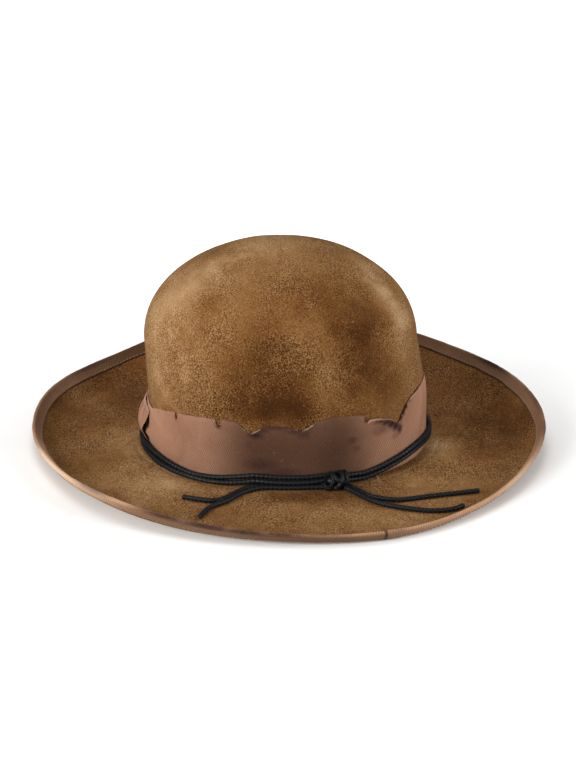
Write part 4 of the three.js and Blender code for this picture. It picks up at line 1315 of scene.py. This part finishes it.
def make_tails():
    for name, points in TAIL_ROUTES.items():
        route = np.array(points)
        dense, _ = even_route(route, ROUTE_STEP)
        dense = clear_of_knot(dense, KNOT_TAKES_TAIL)[::ROUTE_EVERY]
        sections, line, crest = braided_tube(np.vstack([dense, route[-1:]]), drawn_tip=True)
        mesh = cord_mesh(name + "_cord", sections, crest)
        piece = add_piece(name + "_cord", mesh, CORD_FINISH, "waxed_cord", name)


# Strands that make the knot: half sizes along, outward and up, turns about the second and
# third of these in degrees, shift
KNOT_STRANDS = [
    ((0.4, 4.9, 5.4), (-22, 16), (-5.2, 0.8, 0.4)),
    ((0.4, 6.0, 6.0), (-38, 12), (-0.6, 1.6, 0.9)),
    ((0.4, 4.9, 5.4), (-24, 10), (4.6, 0.9, 0.4)),
    ((0.55, 5.4, 4.2), (52, 8), (-1.6, 1.9, 2.2)),
]
KNOT_CORE = (7.2, 5.6, 5.0)


def knot_strand(sizes, turns, shift, stand):
    """A closed loop of cord, drawn tight, as sections round its middle line."""
    pitch, yaw = map(math.radians, turns)
    tilt = Matrix.Rotation(yaw, 3, "Z") @ Matrix.Rotation(pitch, 3, "Y")
    ring = []
    for t in np.linspace(0, 2 * math.pi, 25):
        local = Vector((
            sizes[0] * math.sin(2 * t), sizes[1] * math.cos(t), sizes[2] * math.sin(t),
        ))
        ring.append(tuple(stand @ (tilt @ local + Vector(shift))))
    sections, _, crest = braided_tube(np.array(ring) + knot_middle(), closed=True)
    return sections, crest


def knot_core(stand):
    """The tightly packed inside of the knot, as rings from pole to pole."""
    rings = []
    for rise in np.radians(np.linspace(-80, 80, 11)):
        ring = [
            tuple(stand @ Vector((
                KNOT_CORE[0] * math.cos(rise) * math.cos(t),
                KNOT_CORE[1] * math.cos(rise) * math.sin(t),
                KNOT_CORE[2] * math.sin(rise),
            )))
            for t in np.linspace(0, 2 * math.pi, 20, endpoint=False)
        ]
        rings.append(ring)
    return np.array(rings) + knot_middle()


def make_knot():
    stand = Matrix.Rotation(math.radians(KNOT_LEAN - 90), 3, "Z")
    points, faces, crests = [], [], []
    core = cap_ends(knot_core(stand))
    loops = [(*knot_strand(*row, stand), True) for row in KNOT_STRANDS]
    # The core has crest 0 and takes the cord's painted crevice shade.
    for sections, crest, closed in loops + [(core, np.zeros(core.shape[:2]), False)]:
        count, sides = sections.shape[:2]
        faces += ring_faces(count, sides, len(points), closed)
        points += list(sections.reshape(-1, 3))
        crests.append(crest.reshape(-1))
    mesh = smooth_mesh("tied_knot", points, faces, {"crest": np.concatenate(crests)})
    add_piece("tied_knot", mesh, CORD_FINISH, "waxed_cord", "cord_knot")


make_tails()
make_wraps()
make_knot()
make_felt()
make_binding()
make_stitches()
make_band()
make_frayed_threads()

# Floor and light


FLOOR_HALF = 6.0
DAYLIGHT = 0.27


def make_floor():
    mesh = bpy.data.meshes.new("studio_floor")
    corners = [(-1, -1), (1, -1), (1, 1), (-1, 1)]
    mesh.from_pydata([(x * FLOOR_HALF, y * FLOOR_HALF, 0) for x, y in corners], [], [(0, 1, 2, 3)])
    floor = add_object("studio_floor", mesh)
    material, tree, shader = new_material("studio_paper", 0.9, Specular_IOR_Level=0.1)
    tone = noise_value(tree, object_place(tree), 30.0, 2.0)
    paper = blend_colours(tree, tone, (0.86, 0.86, 0.86), (0.88, 0.88, 0.88))
    tree.links.new(paper, shader.inputs["Base Color"])
    mesh.materials.append(material)


# Softboxes, in metres: name, place, aim, width, height, watts, spread in degrees, colour
SOFTBOXES = [
    ("left_box", (1.35, -1.60, 0.90), (0.0, 0.0, 0.06), 1.2, 1.0, 56.0, 180, (1.0, 0.985, 0.96)),
    ("right_box", (0.55, 1.95, 0.80), (0.0, 0.0, 0.06), 0.8, 1.1, 30.0, 180, (1.0, 0.99, 0.98)),
    ("top_box", (-0.3, -0.2, 2.1), (0.0, 0.0, 0.05), 1.4, 1.4, 12.0, 180, (1.0, 1.0, 1.0)),
    ("fill_box", (2.2, 0.5, 0.75), (0.0, 0.0, 0.06), 1.6, 1.0, 8.0, 180, (1.0, 1.0, 1.0)),
    ("paper_box", (-1.15, 0.0, 2.0), (-1.25, 0.0, 0.0), 1.6, 0.9, 26.0, 60, (1.0, 1.0, 1.0)),
]


def make_lights():
    for name, place, aim, width, height, watts, spread, colour in SOFTBOXES:
        data = bpy.data.lights.new(name, "AREA")
        data.shape = "RECTANGLE"
        data.size, data.size_y = width, height
        data.energy = watts
        data.spread = math.radians(spread)
        data.color = colour
        add_object(name, data).matrix_world = aimed(place, aim)
    world = bpy.data.worlds.new("studio")
    world.use_nodes = True
    sky = world.node_tree.nodes["Background"].inputs
    sky["Color"].default_value = (1, 1, 1, 1)
    sky["Strength"].default_value = DAYLIGHT
    bpy.context.scene.world = world


make_floor()
make_lights()
bpy.context.scene.view_settings.view_transform = "Standard"
